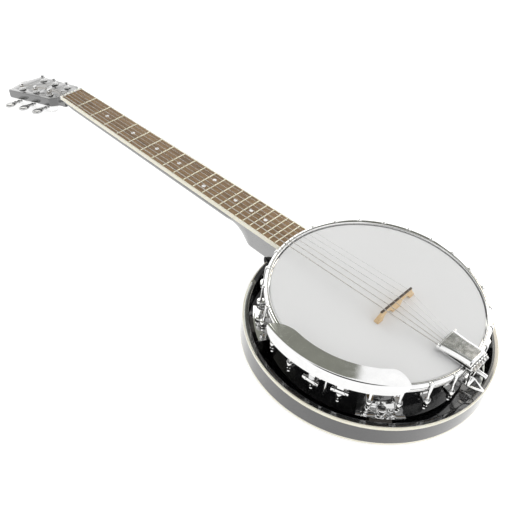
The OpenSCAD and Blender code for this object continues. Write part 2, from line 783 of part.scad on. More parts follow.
// Lower corner of the skirt that its rounded end leaves out; run is negative at the tail end
module skirt_corner(run) {
    depth = arm_skirt - fold_drop + 0.6;
    translate([140, 0, arm_top - fold_drop]) rotate([90, 0, 90]) linear_extrude(30)
        polygon(concat([[run + 0.3 * sign(run), -depth - 9], [-4 * sign(run), -depth - 9],
            [-4 * sign(run), 0]],
            [for (i = [0:8]) [0.3 * sign(run) + run * (1 - cos(90 * i / 8)),
                -depth * sin(90 * i / 8)]]));
}

module armrest() {
    wall_r = arm_out - arm_t;
    color("gainsboro") translate([arm_c[0], arm_c[1], 0]) difference() {
        intersection() {
            rotate_extrude() translate([0, arm_top]) polygon([[arm_in - 2, -arm_t],
                [arm_out - 3.4, -arm_t], [arm_out - 1.9, -1.9], [wall_r, -3.4],
                [wall_r, -arm_skirt], [arm_out, -arm_skirt], [arm_out, -3.2],
                [arm_out - 0.45, -1.6], [arm_out - 1.6, -0.45], [arm_out - 3.2, 0],
                [arm_in - 2, 0]]);
            translate([0, 0, 60]) linear_extrude(40) polygon(arm_plan);
        }
        rotate([0, 0, arm_a[0]]) skirt_corner(20);
        rotate([0, 0, arm_a[1]]) skirt_corner(-22);
    }
}

clamp_angles = [187.5, 201.25];

clamp_z = [hoop_top - 26.2, hoop_top - 23.7];
clamp_r = [153.5, 151];
strap_r = [152.5, 150.9];
stay_z = hoop_top - 34;

// Two clamps that grip hook legs below the skirt, with straps up to the armrest's
// underside, and a bent stay between them
module armrest_clamps() {
    under_z = arm_top - arm_t - 0.2;
    color("silver") {
        for (i = [0:1]) rotate([0, 0, clamp_angles[i]]) {
            translate([clamp_r[i], -11, clamp_z[i]]) cube([3.4, 22, 5]);
            translate([143.4, -9, clamp_z[i] + 1]) cube([3.3, 18, 3]);
            translate([strap_r[i], -4, clamp_z[i]]) cube([1.2, 8, under_z - clamp_z[i]]);
            for (y = [-6.2, 6.2]) translate([144.4, y, clamp_z[i] + 2.5]) rotate([0, 90, 0])
                cylinder(r = 1, h = clamp_r[i] - 140, $fn = 24);
        }
        rotate([0, 0, 194.4]) translate([151.1, 0, stay_z]) {
            cylinder(r = 1.9, h = under_z - stay_z, $fn = 24);
            translate([-4, 0, 0]) rotate([90, 0, 0]) rotate_extrude(angle = -90)
                translate([4, 0]) circle(r = 1.9, $fn = 24);
        }
    }
}

// ---------------------------------------------------------------- bridge and strings

module bridge_profile(w_top, w_foot, z1) {
    polygon([[-w_foot, 0], [w_foot, 0], [w_foot - 0.8, 2.2], [w_top, z1], [-w_top, z1],
        [-w_foot + 0.8, 2.2]]);
}

// Wedge that thins the bridge from its feet to its top
module bridge_wedge(z1) {
    rotate([90, 0, 90]) linear_extrude(100, center = true)
        polygon([[-3.6, -1], [3.6, -1], [3.6, 1], [1.3, z1], [-1.3, z1], [-3.6, 1]]);
}

module bridge() {
    cap_z = bridge_h - 2;
    color("burlywood") translate([0, bridge_y, head_z + 0.02]) difference() {
        intersection() {
            translate([0, 5, 0]) rotate([90, 0, 0]) linear_extrude(10)
                bridge_profile(32.5, 39.5, cap_z);
            bridge_wedge(cap_z);
        }
        for (x = [-18.5, 18.5]) {
            translate([x, 10, -2]) rotate([90, 0, 0]) scale(1) cylinder(r = 11, h = 20, $fn = 64);
            translate([x - 11, -10, -3]) cube([22, 20, 1.5]);
        }
    }
}

module bridge_top() {
    cap_z = bridge_h - 2;
    color([0.12, 0.08, 0.06]) translate([0, bridge_y, head_z + cap_z + 0.04]) difference() {
        translate([-32.4, -1.3, 0]) cube([64.8, 2.6, 2]);
        for (i = [0:5]) translate([string_x(i, bridge_spread), -5, 2]) rotate([-90, 0, 0])
            cylinder(r = string_r[i] + 0.15, h = 10, $fn = 16);
    }
}

// A straight run of wire from a to b, drawn in from both ends so that only the
// balls at the bends join the runs
module wire(a, b, r) {
    v = b - a;
    len = norm(v);
    translate(a + v * 0.3 * r / len) rotate([0, acos(v[2] / len), atan2(v[1], v[0])])
        cylinder(r = r, h = len - 0.6 * r, $fn = 24);
}

// Place of a point of the headstock frame in the main frame
function head_point(x, s, z) = [x,
    nut_y + nut_t + s * cos(head_angle) + z * sin(head_angle),
    nut_z - face_drop - s * sin(head_angle) + z * cos(head_angle)];

// Bends of string i, from its ball end to its post
function string_path(i) =
    let (k = i < 3 ? i : 5 - i, side = i < 3 ? -1 : 1, r = string_r[i])
    [[string_x(i, tail_spread), comb_y - 0.6, hoop_top + 3.3],
        [string_x(i, tail_spread), pin_y + 0.5, hoop_top + 3.3],
        [string_x(i, bridge_spread), bridge_y, head_z + bridge_h + 0.12],
        [string_x(i, nut_spread), nut_y + 2.5, nut_z + 1.5],
        head_point(side * (post_x[k] - post_r - r - 0.5), post_s[k] - 1, 7)];

module string(i) {
    path = string_path(i);
    for (k = [0:len(path) - 2]) wire(path[k], path[k + 1], string_r[i]);
    for (k = [1:len(path) - 2]) translate(path[k]) sphere(r = 1.12 * string_r[i], $fn = 24);
    translate([path[0][0] - 1.5, comb_y - 2, path[0][2]]) rotate([0, 90, 0])
        cylinder(r = 1.9, h = 3, $fn = 24);
}

module wound_strings() {
    color("tan") for (i = [0:2]) string(i);
}

module plain_strings() {
    color("silver") for (i = [3:5]) string(i);
}

resonator_wall();
resonator_back();
resonator_top_binding();
resonator_bottom_binding();
resonator_lugs();
resonator_plates();
thumb_screws();
plate_bolts();
rim();
tone_ring();
drum_head();
flesh_hoop();
tension_hoop();
hooks();
hook_nuts();
bracket_shoes();
shoe_screws();
coordinator_rods();
rod_bolts();
neck_bolts();
neck();
heel_cap();
headstock_veneer();
fingerboard();
fingerboard_binding();
frets();
inlay_dots();
nut();
truss_rod();
truss_rod_cover();
cover_screws();
tuner_housings();
tuner_lids();
tuner_bushings();
tuner_screws();
tuner_key(1);  // tuner_key_1
tuner_key(2);  // tuner_key_2
tuner_key(3);  // tuner_key_3
tuner_key(4);  // tuner_key_4
tuner_key(5);  // tuner_key_5
tuner_key(6);  // tuner_key_6
string_post(1);  // string_post_1
string_post(2);  // string_post_2
string_post(3);  // string_post_3
string_post(4);  // string_post_4
string_post(5);  // string_post_5
string_post(6);  // string_post_6
tailpiece_base();
tailpiece_cover();
tailpiece_pin();
tailpiece_hanger();
tailpiece_screw();
armrest();
armrest_clamps();
bridge();
bridge_top();
wound_strings();
plain_strings();
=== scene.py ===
"""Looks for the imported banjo: camera, light, procedural materials and finely shaped pieces.

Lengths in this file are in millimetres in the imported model's frame; add() turns them to metres.
"""

import json
import math

import bmesh
import bpy
from mathutils import Matrix, Vector


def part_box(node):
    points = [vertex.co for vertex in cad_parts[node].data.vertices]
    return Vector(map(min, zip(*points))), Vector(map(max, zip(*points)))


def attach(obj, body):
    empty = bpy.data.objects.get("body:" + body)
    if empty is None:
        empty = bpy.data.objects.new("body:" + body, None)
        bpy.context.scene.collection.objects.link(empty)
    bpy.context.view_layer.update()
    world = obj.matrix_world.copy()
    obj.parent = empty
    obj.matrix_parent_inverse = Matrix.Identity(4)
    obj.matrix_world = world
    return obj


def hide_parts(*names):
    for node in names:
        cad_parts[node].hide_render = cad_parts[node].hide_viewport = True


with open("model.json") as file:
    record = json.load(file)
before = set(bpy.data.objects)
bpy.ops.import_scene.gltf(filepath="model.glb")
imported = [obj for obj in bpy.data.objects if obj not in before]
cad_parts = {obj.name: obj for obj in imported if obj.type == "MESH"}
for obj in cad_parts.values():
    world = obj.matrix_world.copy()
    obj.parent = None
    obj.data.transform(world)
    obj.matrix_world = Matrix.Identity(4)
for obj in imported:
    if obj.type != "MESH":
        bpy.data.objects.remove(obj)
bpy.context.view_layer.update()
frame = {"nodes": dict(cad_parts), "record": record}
NODES = frame["nodes"]
MM = 0.001
ROOT = "banjo"


# ------------------------------------------------------------------ sizes from the frame

def low(node):
    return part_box(node)[0] / MM


def high(node):
    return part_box(node)[1] / MM


HOOP_TOP = high("tension_hoop").z
HOOP_LOW = low("tension_hoop").z
HOOP_R = high("tension_hoop").x
HOOP_IN = HOOP_R - 6.5
HEAD_Z = high("drum_head").z
HEAD_LOW = low("drum_head").z
RES_R = high("resonator_top_binding").x
RES_TOP = high("resonator_top_binding").z
BIND_LOW = low("resonator_top_binding").z
BOTTOM_BIND_LOW = low("resonator_bottom_binding").z
BOTTOM_BIND_TOP = high("resonator_bottom_binding").z
RES_WALL = 8.5
BINDING = 1.8
BACK_FLAT = 140
NOTCH_HALF = 22
NOTCH_LOW = 25.5
RIM_R = high("rim").y
RIM_TOP = high("rim").z

HOOK_ANGLES = [90 + s * (15 + 13.75 * k) for k in range(12) for s in (-1, 1)]
PLATE_ANGLES = [90 + s * (15 + 13.75 * k) for k in (2.5, 8.5) for s in (-1, 1)]
HOOK_R = 148.9

NUT_Y = 622
NUT_Z = 71.5
NUT_W = 41
BODY_W = 57
NUT_T = 5
BOARD_T = 6
BOARD_END_R = 148
TILT = math.tan(math.radians(1.72))
HEAD_ANGLE = math.radians(18.5)
HEAD_T = 14.5
VENEER_T = 1.2
FACE_DROP = 5
HEEL_Y = 241
HEEL_FOOT = 10.5
HEEL_Z = 29.5
POST_X = (18, 19.2, 21.6)
POST_S = (33, 71, 108.5)
WORM_S = 9.2
WORM_Z = -20.5
WORM_R = 2.4
WORM_PITCH = 2.827
WHEEL_R = 6.3
WHEEL_TEETH = 14
TOOTH = 0.75
PIN_Y = (low("tailpiece_pin").y + high("tailpiece_pin").y) / 2
PIN_Z = (low("tailpiece_pin").z + high("tailpiece_pin").z) / 2


# ------------------------------------------------------------------ shapes

class Shape:
    """Vertices and faces gathered from several simple parts."""

    def __init__(self):
        self.verts = []
        self.faces = []

    def put(self, part, place=None):
        base = len(self.verts)
        self.verts += [place @ Vector(p) if place else Vector(p) for p in part[0]]
        self.faces += [tuple(base + i for i in f) for f in part[1]]
        return self


def carried(shape, place):
    """A moved copy of a Shape."""
    return Shape().put((shape.verts, shape.faces), place)


def skin(rings, loop=False):
    """Joins equal rings of points into a tube, capped or, if loop is true, closed on itself."""
    n = len(rings[0])
    verts = [p for ring in rings for p in ring]
    faces = []
    for i in range(len(rings) if loop else len(rings) - 1):
        a = i * n
        b = ((i + 1) % len(rings)) * n
        for j in range(n):
            k = (j + 1) % n
            faces.append((a + j, b + j, b + k, a + k))
    if not loop:
        faces.append(tuple(reversed(range(n))))
        faces.append(tuple(range(len(verts) - n, len(verts))))
    return verts, faces


def turn(profile, steps=192):
    """Turns a closed (r, z) outline about Z."""
    rings = []
    for i in range(steps):
        a = 2 * math.pi * i / steps
        rings.append([(r * math.cos(a), r * math.sin(a), z) for r, z in profile])
    return skin(rings, loop=True)


def rounded(points, radius, steps=4):
    """Rounds the corners of a closed 2-D outline; radius is one number or one for each corner."""
    out = []
    n = len(points)
    for i, p in enumerate(points):
        r = radius[i] if isinstance(radius, (list, tuple)) else radius
        p = Vector(p)
        a = Vector(points[i - 1]) - p
        b = Vector(points[(i + 1) % n]) - p
        half = a.angle(b) / 2
        if r <= 0 or half > math.pi / 2 - 0.02:
            out.append(tuple(p))
            continue
        cut = min(r / math.tan(half), 0.49 * a.length, 0.49 * b.length)
        r = cut * math.tan(half)
        start = p + a.normalized() * cut
        end = p + b.normalized() * cut
        centre = p + (a.normalized() + b.normalized()).normalized() * (r / math.sin(half))
        u = start - centre
        v = end - centre
        whole = u.angle(v)
        for k in range(steps + 1):
            t = k / steps
            q = (u * math.sin((1 - t) * whole) + v * math.sin(t * whole)) / math.sin(whole)
            out.append(tuple(centre + q))
    return out


def inset(outline, d):
    """Moves a closed outline inwards by d, whichever way round it runs."""
    n = len(outline)
    area = sum(outline[i - 1][0] * outline[i][1] - outline[i][0] * outline[i - 1][1] for i in range(n))
    side = 1 if area > 0 else -1
    out = []
    for i in range(n):
        p = Vector(outline[i])
        a = (p - Vector(outline[i - 1])).normalized()
        b = (Vector(outline[(i + 1) % n]) - p).normalized()
        m = Vector((-a.y - b.y, a.x + b.x)) * side
        out.append(tuple(p + m * (d / max(0.3, 1 + a.dot(b)))))
    return out


def slab(outline, z0, z1, edge=0.0, steps=3, lower_edge=None):
    """A plate of an outline between z0 and z1, with rounded rims of radius edge."""
    lower_edge = edge if lower_edge is None else lower_edge
    rings = []
    for k in range(steps + 1):
        a = math.pi / 2 * k / steps
        ring = inset(outline, lower_edge * (1 - math.sin(a)))
        rings.append([(x, y, z0 + lower_edge * (1 - math.cos(a))) for x, y in ring])
        if lower_edge == 0:
            break
    for k in range(steps + 1):
        a = math.pi / 2 * k / steps
        ring = inset(outline, edge * (1 - math.cos(a)))
        rings.append([(x, y, z1 - edge * (1 - math.sin(a))) for x, y in ring])
        if edge == 0:
            break
    return skin(rings)


def circle(r, n=24, z=0.0):
    return [(r * math.cos(2 * math.pi * i / n), r * math.sin(2 * math.pi * i / n), z) for i in range(n)]


def spindle(profile, n=32):
    """A solid of revolution about Z from (r, z) pairs running from one end to the other."""
    return skin([circle(max(r, 0.001), n, z) for r, z in profile])


def tube(path, radius, n=10):
    """A round wire along a list of points; radius is one number or one for each point."""
    pts = [Vector(p) for p in path]
    rings = []
    normal = None
    for i, p in enumerate(pts):
        ahead = pts[min(i + 1, len(pts) - 1)] - pts[max(i - 1, 0)]
        ahead.normalize()
        if normal is None:
            normal = ahead.orthogonal().normalized()
        normal = (normal - ahead * normal.dot(ahead)).normalized()
        other = ahead.cross(normal)
        r = radius[i] if isinstance(radius, (list, tuple)) else radius
        rings.append([tuple(p + (normal * math.cos(a) + other * math.sin(a)) * r)
                      for a in (2 * math.pi * k / n for k in range(n))])
    return skin(rings)


def sheet_between(outer, inner):
    """Closes two equal grids of points into a thin sheet with edges."""
    rows, cols = len(outer), len(outer[0])
    verts = [p for row in outer for p in row] + [p for row in inner for p in row]
    half = rows * cols
    faces = []
    for i in range(rows - 1):
        for j in range(cols - 1):
            a, b, c, d = i * cols + j, i * cols + j + 1, (i + 1) * cols + j + 1, (i + 1) * cols + j
            faces += [(a, b, c, d), (half + d, half + c, half + b, half + a)]
    edge = [(i * cols, (i + 1) * cols) for i in range(rows - 1)]
    edge += [((i + 1) * cols + cols - 1, i * cols + cols - 1) for i in range(rows - 1)]
    edge += [(j + 1, j) for j in range(cols - 1)]
    edge += [((rows - 1) * cols + j, (rows - 1) * cols + j + 1) for j in range(cols - 1)]
    faces += [(a, b, half + b, half + a) for a, b in edge]
    return verts, faces


def arc(cx, cy, r, a0, a1, n):
    return [(cx + r * math.cos(math.radians(a0 + (a1 - a0) * i / n)),
             cy + r * math.sin(math.radians(a0 + (a1 - a0) * i / n))) for i in range(n + 1)]


def spun(angle):
    return Matrix.Rotation(math.radians(angle), 4, "Z")


def move(x, y, z):
    return Matrix.Translation((x, y, z))


def clean(mesh, sharp):
    bm = bmesh.new()
    bm.from_mesh(mesh)
    bmesh.ops.remove_doubles(bm, verts=bm.verts, dist=2e-6)
    bmesh.ops.dissolve_degenerate(bm, edges=bm.edges, dist=1e-7)
    bmesh.ops.recalc_face_normals(bm, faces=bm.faces)
    bm.to_mesh(mesh)
    bm.free()
    mesh.polygons.foreach_set("use_smooth", [True] * len(mesh.polygons))
    mesh.set_sharp_from_angle(angle=math.radians(sharp))


def place_piece(mesh, name, material, body, stands_for):
    obj = bpy.data.objects.new(name, mesh)
    bpy.context.scene.collection.objects.link(obj)
    mesh.materials.clear()
    mesh.materials.append(material)
    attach(obj, body)
    if stands_for:
        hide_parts(*stands_for)
    return obj


def add(name, shape, material, stands_for=(), body=ROOT, sharp=38):
    """Makes a piece from a Shape or a (verts, faces) pair, both in millimetres."""
    verts, faces = (shape.verts, shape.faces) if isinstance(shape, Shape) else shape
    mesh = bpy.data.meshes.new(name)
    mesh.from_pydata([tuple(c * MM for c in p) for p in verts], [], faces)
    mesh.update()
    clean(mesh, sharp)
    return place_piece(mesh, name, material, body, stands_for)


def carved(obj, cutters, operation="DIFFERENCE"):
    """Applies boolean cuts by (verts, faces) shapes in millimetres to a piece."""
    for part in cutters:
        mesh = bpy.data.meshes.new("cutter")
        mesh.from_pydata([tuple(c * MM for c in p) for p in part[0]], [], part[1])
        clean(mesh, 30)
        tool = bpy.data.objects.new("cutter", mesh)
        bpy.context.scene.collection.objects.link(tool)
        mod = obj.modifiers.new("cut", "BOOLEAN")
        mod.operation = operation
        mod.solver = "EXACT"
        mod.object = tool
        bpy.context.view_layer.update()
        graph = bpy.context.evaluated_depsgraph_get()
        result = bpy.data.meshes.new_from_object(obj.evaluated_get(graph))
        obj.modifiers.remove(mod)
        old = obj.data
        material = old.materials[0]
        obj.data = result
        bpy.data.meshes.remove(old)
        bpy.data.objects.remove(tool)
        bpy.data.meshes.remove(mesh)
        result.materials.clear()
        result.materials.append(material)
        clean(result, 38)
        result.name = obj.name
    return obj


def block(x0, x1, y0, y1, z0, z1, edge=0.0, steps=2):
    return slab([(x0, y0), (x1, y0), (x1, y1), (x0, y1)], z0, z1, edge, steps)


def bevelled(node, width, material, steps=2):
    """A copy of a CAD node with its sharp edges worn round, which stands for it."""
    mesh = NODES[node].data.copy()
    bm = bmesh.new()
    bm.from_mesh(mesh)
    bmesh.ops.remove_doubles(bm, verts=bm.verts, dist=1e-6)
    bmesh.ops.dissolve_limit(bm, angle_limit=math.radians(1), verts=bm.verts, edges=bm.edges)
    edges = [e for e in bm.edges if len(e.link_faces) == 2
             and e.calc_face_angle(0) > math.radians(35) and e.calc_length() > 1.2 * width * MM]
    bmesh.ops.bevel(bm, geom=edges, offset=width * MM, offset_type="OFFSET", segments=steps,
                    profile=0.5, affect="EDGES", clamp_overlap=True)
    bm.to_mesh(mesh)
    bm.free()
    clean(mesh, 38)
    return place_piece(mesh, node + "_worn", material, ROOT, (node,))


# ------------------------------------------------------------------ materials

class Paint:
    """A small helper that wires a procedural material around one Principled shader."""

    def __init__(self, name):
        self.mat = bpy.data.materials.new(name)
        self.mat.use_nodes = True
        self.tree = self.mat.node_tree
        self.bsdf = next(n for n in self.tree.nodes if n.type == "BSDF_PRINCIPLED")
        self.coords = self.tree.nodes.new("ShaderNodeTexCoord")

    def set(self, **values):
        for key, value in values.items():
            self.bsdf.inputs[key.replace("_", " ")].default_value = value
        return self

    def link(self, a, b):
        self.tree.links.new(a, b)

    def space(self, scale=(1, 1, 1)):
        node = self.tree.nodes.new("ShaderNodeMapping")
        node.inputs["Scale"].default_value = scale
        self.link(self.coords.outputs["Object"], node.inputs["Vector"])
        return node.outputs["Vector"]

    def noise(self, scale, detail=4, rough=0.55, stretch=(1, 1, 1), warp=0.0):
        node = self.tree.nodes.new("ShaderNodeTexNoise")
        node.inputs["Scale"].default_value = scale
        node.inputs["Detail"].default_value = detail
        node.inputs["Roughness"].default_value = rough
        node.inputs["Distortion"].default_value = warp
        self.link(self.space(stretch), node.inputs["Vector"])
        return node.outputs["Fac"]

    def wave(self, scale, axis="Z", distortion=0.0, detail=2.0):
        node = self.tree.nodes.new("ShaderNodeTexWave")
        node.bands_direction = axis
        node.inputs["Scale"].default_value = scale
        node.inputs["Distortion"].default_value = distortion
        node.inputs["Detail"].default_value = detail
        self.link(self.space(), node.inputs["Vector"])
        return node.outputs["Fac"]

    def ramp(self, source, stops):
        node = self.tree.nodes.new("ShaderNodeValToRGB")
        ramp = node.color_ramp
        while len(ramp.elements) < len(stops):
            ramp.elements.new(0.5)
        for element, (at, value) in zip(ramp.elements, stops):
            element.position = at
            element.color = (*value, 1) if isinstance(value, tuple) else (value, value, value, 1)
        self.link(source, node.inputs["Fac"])
        return node.outputs["Color"]

    def mix(self, factor, a, b, mode="MIX"):
        node = self.tree.nodes.new("ShaderNodeMix")
        node.data_type = "RGBA"
        node.blend_type = mode
        for value, key in ((factor, 0), (a, 6), (b, 7)):
            if isinstance(value, bpy.types.NodeSocket):
                self.link(value, node.inputs[key])
            else:
                node.inputs[key].default_value = value
        return node.outputs[2]

    def bump(self, source, strength, distance=0.0002):
        node = self.tree.nodes.new("ShaderNodeBump")
        node.inputs["Strength"].default_value = strength
        node.inputs["Distance"].default_value = distance
        self.link(source, node.inputs["Height"])
        self.link(node.outputs["Normal"], self.bsdf.inputs["Normal"])
        return self

    def colour(self, source):
        self.link(source, self.bsdf.inputs["Base Color"])
        return self

    def rough(self, source, low, high):
        self.link(self.ramp(source, [(0.3, low), (0.7, high)]), self.bsdf.inputs["Roughness"])
        return self


def metal(name, dark, light, rough, scratch=0.05, brushed=None):
    """Plated or polished metal with faint smudges and hairline scratches."""
    p = Paint(name).set(Metallic=1.0)
    p.colour(p.ramp(p.noise(70, 5), [(0.3, dark), (0.7, light)]))
    p.rough(p.noise(140, 5, 0.6), rough[0], rough[1])
    stretch = brushed or (1, 1, 1)
    p.bump(p.noise(900 if brushed is None else 260, 6, 0.6, stretch), scratch, 0.00008)
    return p.mat


def lacquer(name, base, glow, coat_ior=1.6, rough=(0.16, 0.24), peel=0.03):
    """Black sprayed lacquer: a dark body under a clear polished coat."""
    p = Paint(name).set(Coat_Weight=1.0, Coat_Roughness=0.035, Coat_IOR=coat_ior)
    p.colour(p.ramp(p.noise(28, 5, 0.6), [(0.3, base), (0.75, glow)]))
    p.rough(p.noise(120, 4), rough[0], rough[1])
    p.bump(p.noise(260, 2, 0.4), peel, 0.0001)
    return p.mat


M = {}
M["black_wood"] = lacquer("black_lacquer", (0.010, 0.010, 0.011), (0.016, 0.016, 0.017), 2.1)
# The outer side is the same black lacquer with a lighter base colour: painted light on that side.
M["res_side"] = lacquer("painted_light_side_lacquer", (0.018, 0.017, 0.018), (0.028, 0.027, 0.028), 1.72, (0.10, 0.18))
M["chrome"] = metal("chrome", (0.82, 0.82, 0.82), (0.89, 0.89, 0.885), (0.03, 0.07), 0.012)
# Dark metal that paints shade into the hoop's turned lines and under its lower edge.
M["painted_shade_metal"] = metal("painted_shade_metal", (0.05, 0.05, 0.05), (0.11, 0.11, 0.105), (0.3, 0.45), 0.02)
M["key_metal"] = metal("key_nickel", (0.50, 0.50, 0.50), (0.62, 0.62, 0.615), (0.05, 0.12), 0.02)
M["cover_edge"] = metal("bright_edge", (0.86, 0.86, 0.855), (0.93, 0.93, 0.92), (0.12, 0.2), 0.03)
M["steel"] = metal("dull_steel", (0.42, 0.42, 0.43), (0.56, 0.56, 0.56), (0.28, 0.42), 0.15)
M["cover_metal"] = metal("brushed_cover", (0.70, 0.705, 0.725), (0.78, 0.785, 0.81), (0.10, 0.18),
                         0.06, (4, 0.6, 1))
M["fret_metal"] = metal("fret_wire", (0.62, 0.59, 0.46), (0.74, 0.70, 0.56), (0.18, 0.28), 0.06)
M["bronze"] = metal("cast_bronze", (0.55, 0.36, 0.16), (0.72, 0.52, 0.27), (0.3, 0.45), 0.3)
M["plain_string"] = metal("plain_wire", (0.55, 0.55, 0.55), (0.68, 0.68, 0.68), (0.14, 0.2), 0.05)


def ivory(name, a, b, rough):
    p = Paint(name).set(Subsurface_Weight=0.12, Subsurface_Scale=0.002, Coat_Weight=0.4,
                        Coat_Roughness=0.12)
    p.bsdf.inputs["Subsurface Radius"].default_value = (1.0, 0.8, 0.5)
    p.colour(p.ramp(p.noise(55, 6, 0.6, (1, 0.15, 1), 0.6), [(0.3, a), (0.7, b)]))
    p.rough(p.noise(200, 3), rough[0], rough[1])
    p.bump(p.noise(420, 3), 0.05, 0.0001)
    return p.mat


M["ivory"] = ivory("aged_ivoroid", (0.80, 0.76, 0.62), (0.89, 0.86, 0.74), (0.28, 0.4))
M["pale_ivory"] = ivory("board_ivoroid", (0.92, 0.905, 0.82), (0.96, 0.95, 0.89), (0.28, 0.4))


def pearl():
    p = Paint("pearl_dot").set(Coat_Weight=1.0, Coat_Roughness=0.05, Sheen_Weight=0.2)
    swirl = p.noise(420, 5, 0.6, (1, 1.6, 1), 1.2)
    p.colour(p.ramp(swirl, [(0.25, (0.78, 0.80, 0.78)), (0.5, (0.90, 0.89, 0.88)),
                            (0.75, (0.80, 0.84, 0.87))]))
    p.rough(swirl, 0.12, 0.3)
    p.bump(swirl, 0.06, 0.0001)
    return p.mat


M["pearl"] = pearl()


def film():
    """Frosted drum head: a fine sprayed grain over a pale film."""
    p = Paint("frosted_film").set(IOR=1.45, Subsurface_Weight=0.0)
    broad = p.noise(7, 3, 0.5)
    p.colour(p.ramp(broad, [(0.3, (0.80, 0.802, 0.808)), (0.7, (0.82, 0.822, 0.827))]))
    grain = p.noise(2600, 3, 0.7)
    p.rough(grain, 0.55, 0.75)
    p.bump(grain, 0.12, 0.00006)
    return p.mat


M["head_film"] = film()


def open_wood(name, dark, mid, light, scale, rough, gloss=0.0, along=(1, 0.05, 1), pores=0.25):
    """Grained wood: long streaks, finer fibres and dark pores, running along Y unless told otherwise."""
    p = Paint(name).set(Coat_Weight=gloss, Coat_Roughness=0.2)
    streak = p.noise(scale, 6, 0.62, along, 0.5)
    fibre = p.noise(scale * 7, 4, 0.6, along)
    body = p.ramp(streak, [(0.28, dark), (0.5, mid), (0.74, light)])
    pore = p.ramp(fibre, [(0.36, 0.35), (0.47, 1.0)])
    p.colour(p.mix(pores, body, p.mix(1.0, body, pore, "MULTIPLY")))
    p.rough(fibre, rough[0], rough[1])
    p.bump(fibre, 0.3, 0.00015)
    return p.mat


M["fretboard_wood"] = open_wood("rosewood", (0.140, 0.080, 0.034), (0.265, 0.160, 0.072),
                                (0.330, 0.205, 0.095), 160, (0.45, 0.6), 0.0, (1, 0.045, 1), 0.7)
M["maple"] = open_wood("maple", (0.62, 0.40, 0.19), (0.76, 0.54, 0.30), (0.85, 0.66, 0.42),
                       130, (0.4, 0.55), 0.1, (0.06, 1, 1), 0.3)
M["ebony"] = open_wood("ebony", (0.035, 0.022, 0.015), (0.075, 0.052, 0.036), (0.12, 0.088, 0.062),
                       200, (0.4, 0.55), 0.0, (0.05, 1, 1), 0.5)
M["raw_wood"] = open_wood("plain_wood", (0.02, 0.018, 0.016), (0.035, 0.03, 0.026), (0.05, 0.042, 0.035),
                          90, (0.5, 0.7), 0.0, (1, 1, 0.1), 0.4)
M["black_plastic"] = lacquer("black_plastic", (0.014, 0.014, 0.014), (0.02, 0.02, 0.02), 1.5, (0.2, 0.3))


def wound():
    """Nickel winding: close turns that run across the string."""
    p = Paint("nickel_winding").set(Metallic=1.0)
    p.colour(p.ramp(p.noise(90, 4), [(0.3, (0.46, 0.44, 0.41)), (0.7, (0.58, 0.56, 0.53))]))
    turns = p.wave(640, "Y")
    p.rough(p.noise(160, 3), 0.24, 0.36)
    p.bump(turns, 0.6, 0.00012)
    return p.mat


M["wound_string"] = wound()

SLOT_OF = {s["node"]: s["material_slot"] for s in frame["record"]["subparts"]}
for node_name, node_obj in NODES.items():
    node_obj.data.materials.clear()
    node_obj.data.materials.append(M[SLOT_OF[node_name]])


# ------------------------------------------------------------------ resonator

NOTCH = block(-NOTCH_HALF, NOTCH_HALF, 148, 182, NOTCH_LOW, 60)
bind_r = RES_R - BINDING
wall_in = RES_R - RES_WALL

wall = add("resonator_side", turn(rounded(
    [(wall_in, BOTTOM_BIND_TOP), (RES_R, BOTTOM_BIND_TOP), (RES_R, BIND_LOW), (bind_r, BIND_LOW),
     (bind_r, RES_TOP), (wall_in, RES_TOP)], [0, 0, 0, 0, 0, 1.4], 5), 240),
    M["res_side"], ("resonator_wall",))
carved(wall, [NOTCH])
# The inside face and the top band are plain black; only the outside takes the side lacquer, whose lighter
# base colour is painted light.
wall.data.materials.append(M["black_wood"])
for face in wall.data.polygons:
    outward = face.normal.x * face.center.x + face.normal.y * face.center.y
    if outward < 0 or face.center.xy.length < (bind_r - 1) * MM or face.normal.z > 0.5:
        face.material_index = 1

band = add("resonator_edge_binding", turn(rounded(
    [(bind_r, BIND_LOW), (RES_R, BIND_LOW), (RES_R, RES_TOP), (bind_r, RES_TOP)],
    [0, 0, 1.1, 0], 5), 240), M["ivory"], ("resonator_top_binding",))
carved(band, [NOTCH])

add("resonator_foot_binding", turn(rounded(
    [(bind_r, BOTTOM_BIND_LOW), (RES_R, BOTTOM_BIND_LOW), (RES_R, BOTTOM_BIND_TOP),
     (bind_r, BOTTOM_BIND_TOP)], [0, 1.6, 0, 0], 5), 240), M["ivory"],
    ("resonator_bottom_binding",))


def back_height(r):
    t = max(0.0, (r - BACK_FLAT) / (bind_r - BACK_FLAT))
    return BOTTOM_BIND_LOW * t * t


back_under = [(0.0, 0.0), (60, 0), (120, 0), (BACK_FLAT, 0)] + [
    (BACK_FLAT + (bind_r - BACK_FLAT) * i / 16, back_height(BACK_FLAT + (bind_r - BACK_FLAT) * i / 16))
    for i in range(1, 17)]
back_over = [(bind_r, BOTTOM_BIND_TOP), (wall_in, BOTTOM_BIND_TOP)] + [
    (r, back_height(r) + 4) for r in (wall_in - 1, 155, 150, 145, BACK_FLAT, 100, 50, 0)]
add("resonator_dish", turn(back_under + back_over, 240), M["black_wood"],
    ("resonator_back",))


# ------------------------------------------------------------------ pot

tone = RIM_R + 1.2
add("head_skin", turn(
    [(0, HEAD_Z), (90, HEAD_Z), (tone - 3, HEAD_Z), (tone - 1.2, HEAD_Z - 0.12)]
    + arc(tone - 1.3, HEAD_Z - 2.2, 2.1, 85, 0, 6)
    + [(tone + 0.8, HEAD_LOW + 0.6), (HOOP_R - 2.2, HEAD_LOW + 0.6), (HOOP_R - 2.2, HEAD_LOW),
       (tone + 0.1, HEAD_LOW), (tone + 0.1, HEAD_Z - 1.9), (tone - 0.8, HEAD_Z - 0.75),
       (0, HEAD_Z - 0.75)], 240), M["head_film"], ("drum_head",))


HOOP_LINE = HOOP_LOW + 0.42 * (HOOP_TOP - HOOP_LOW)


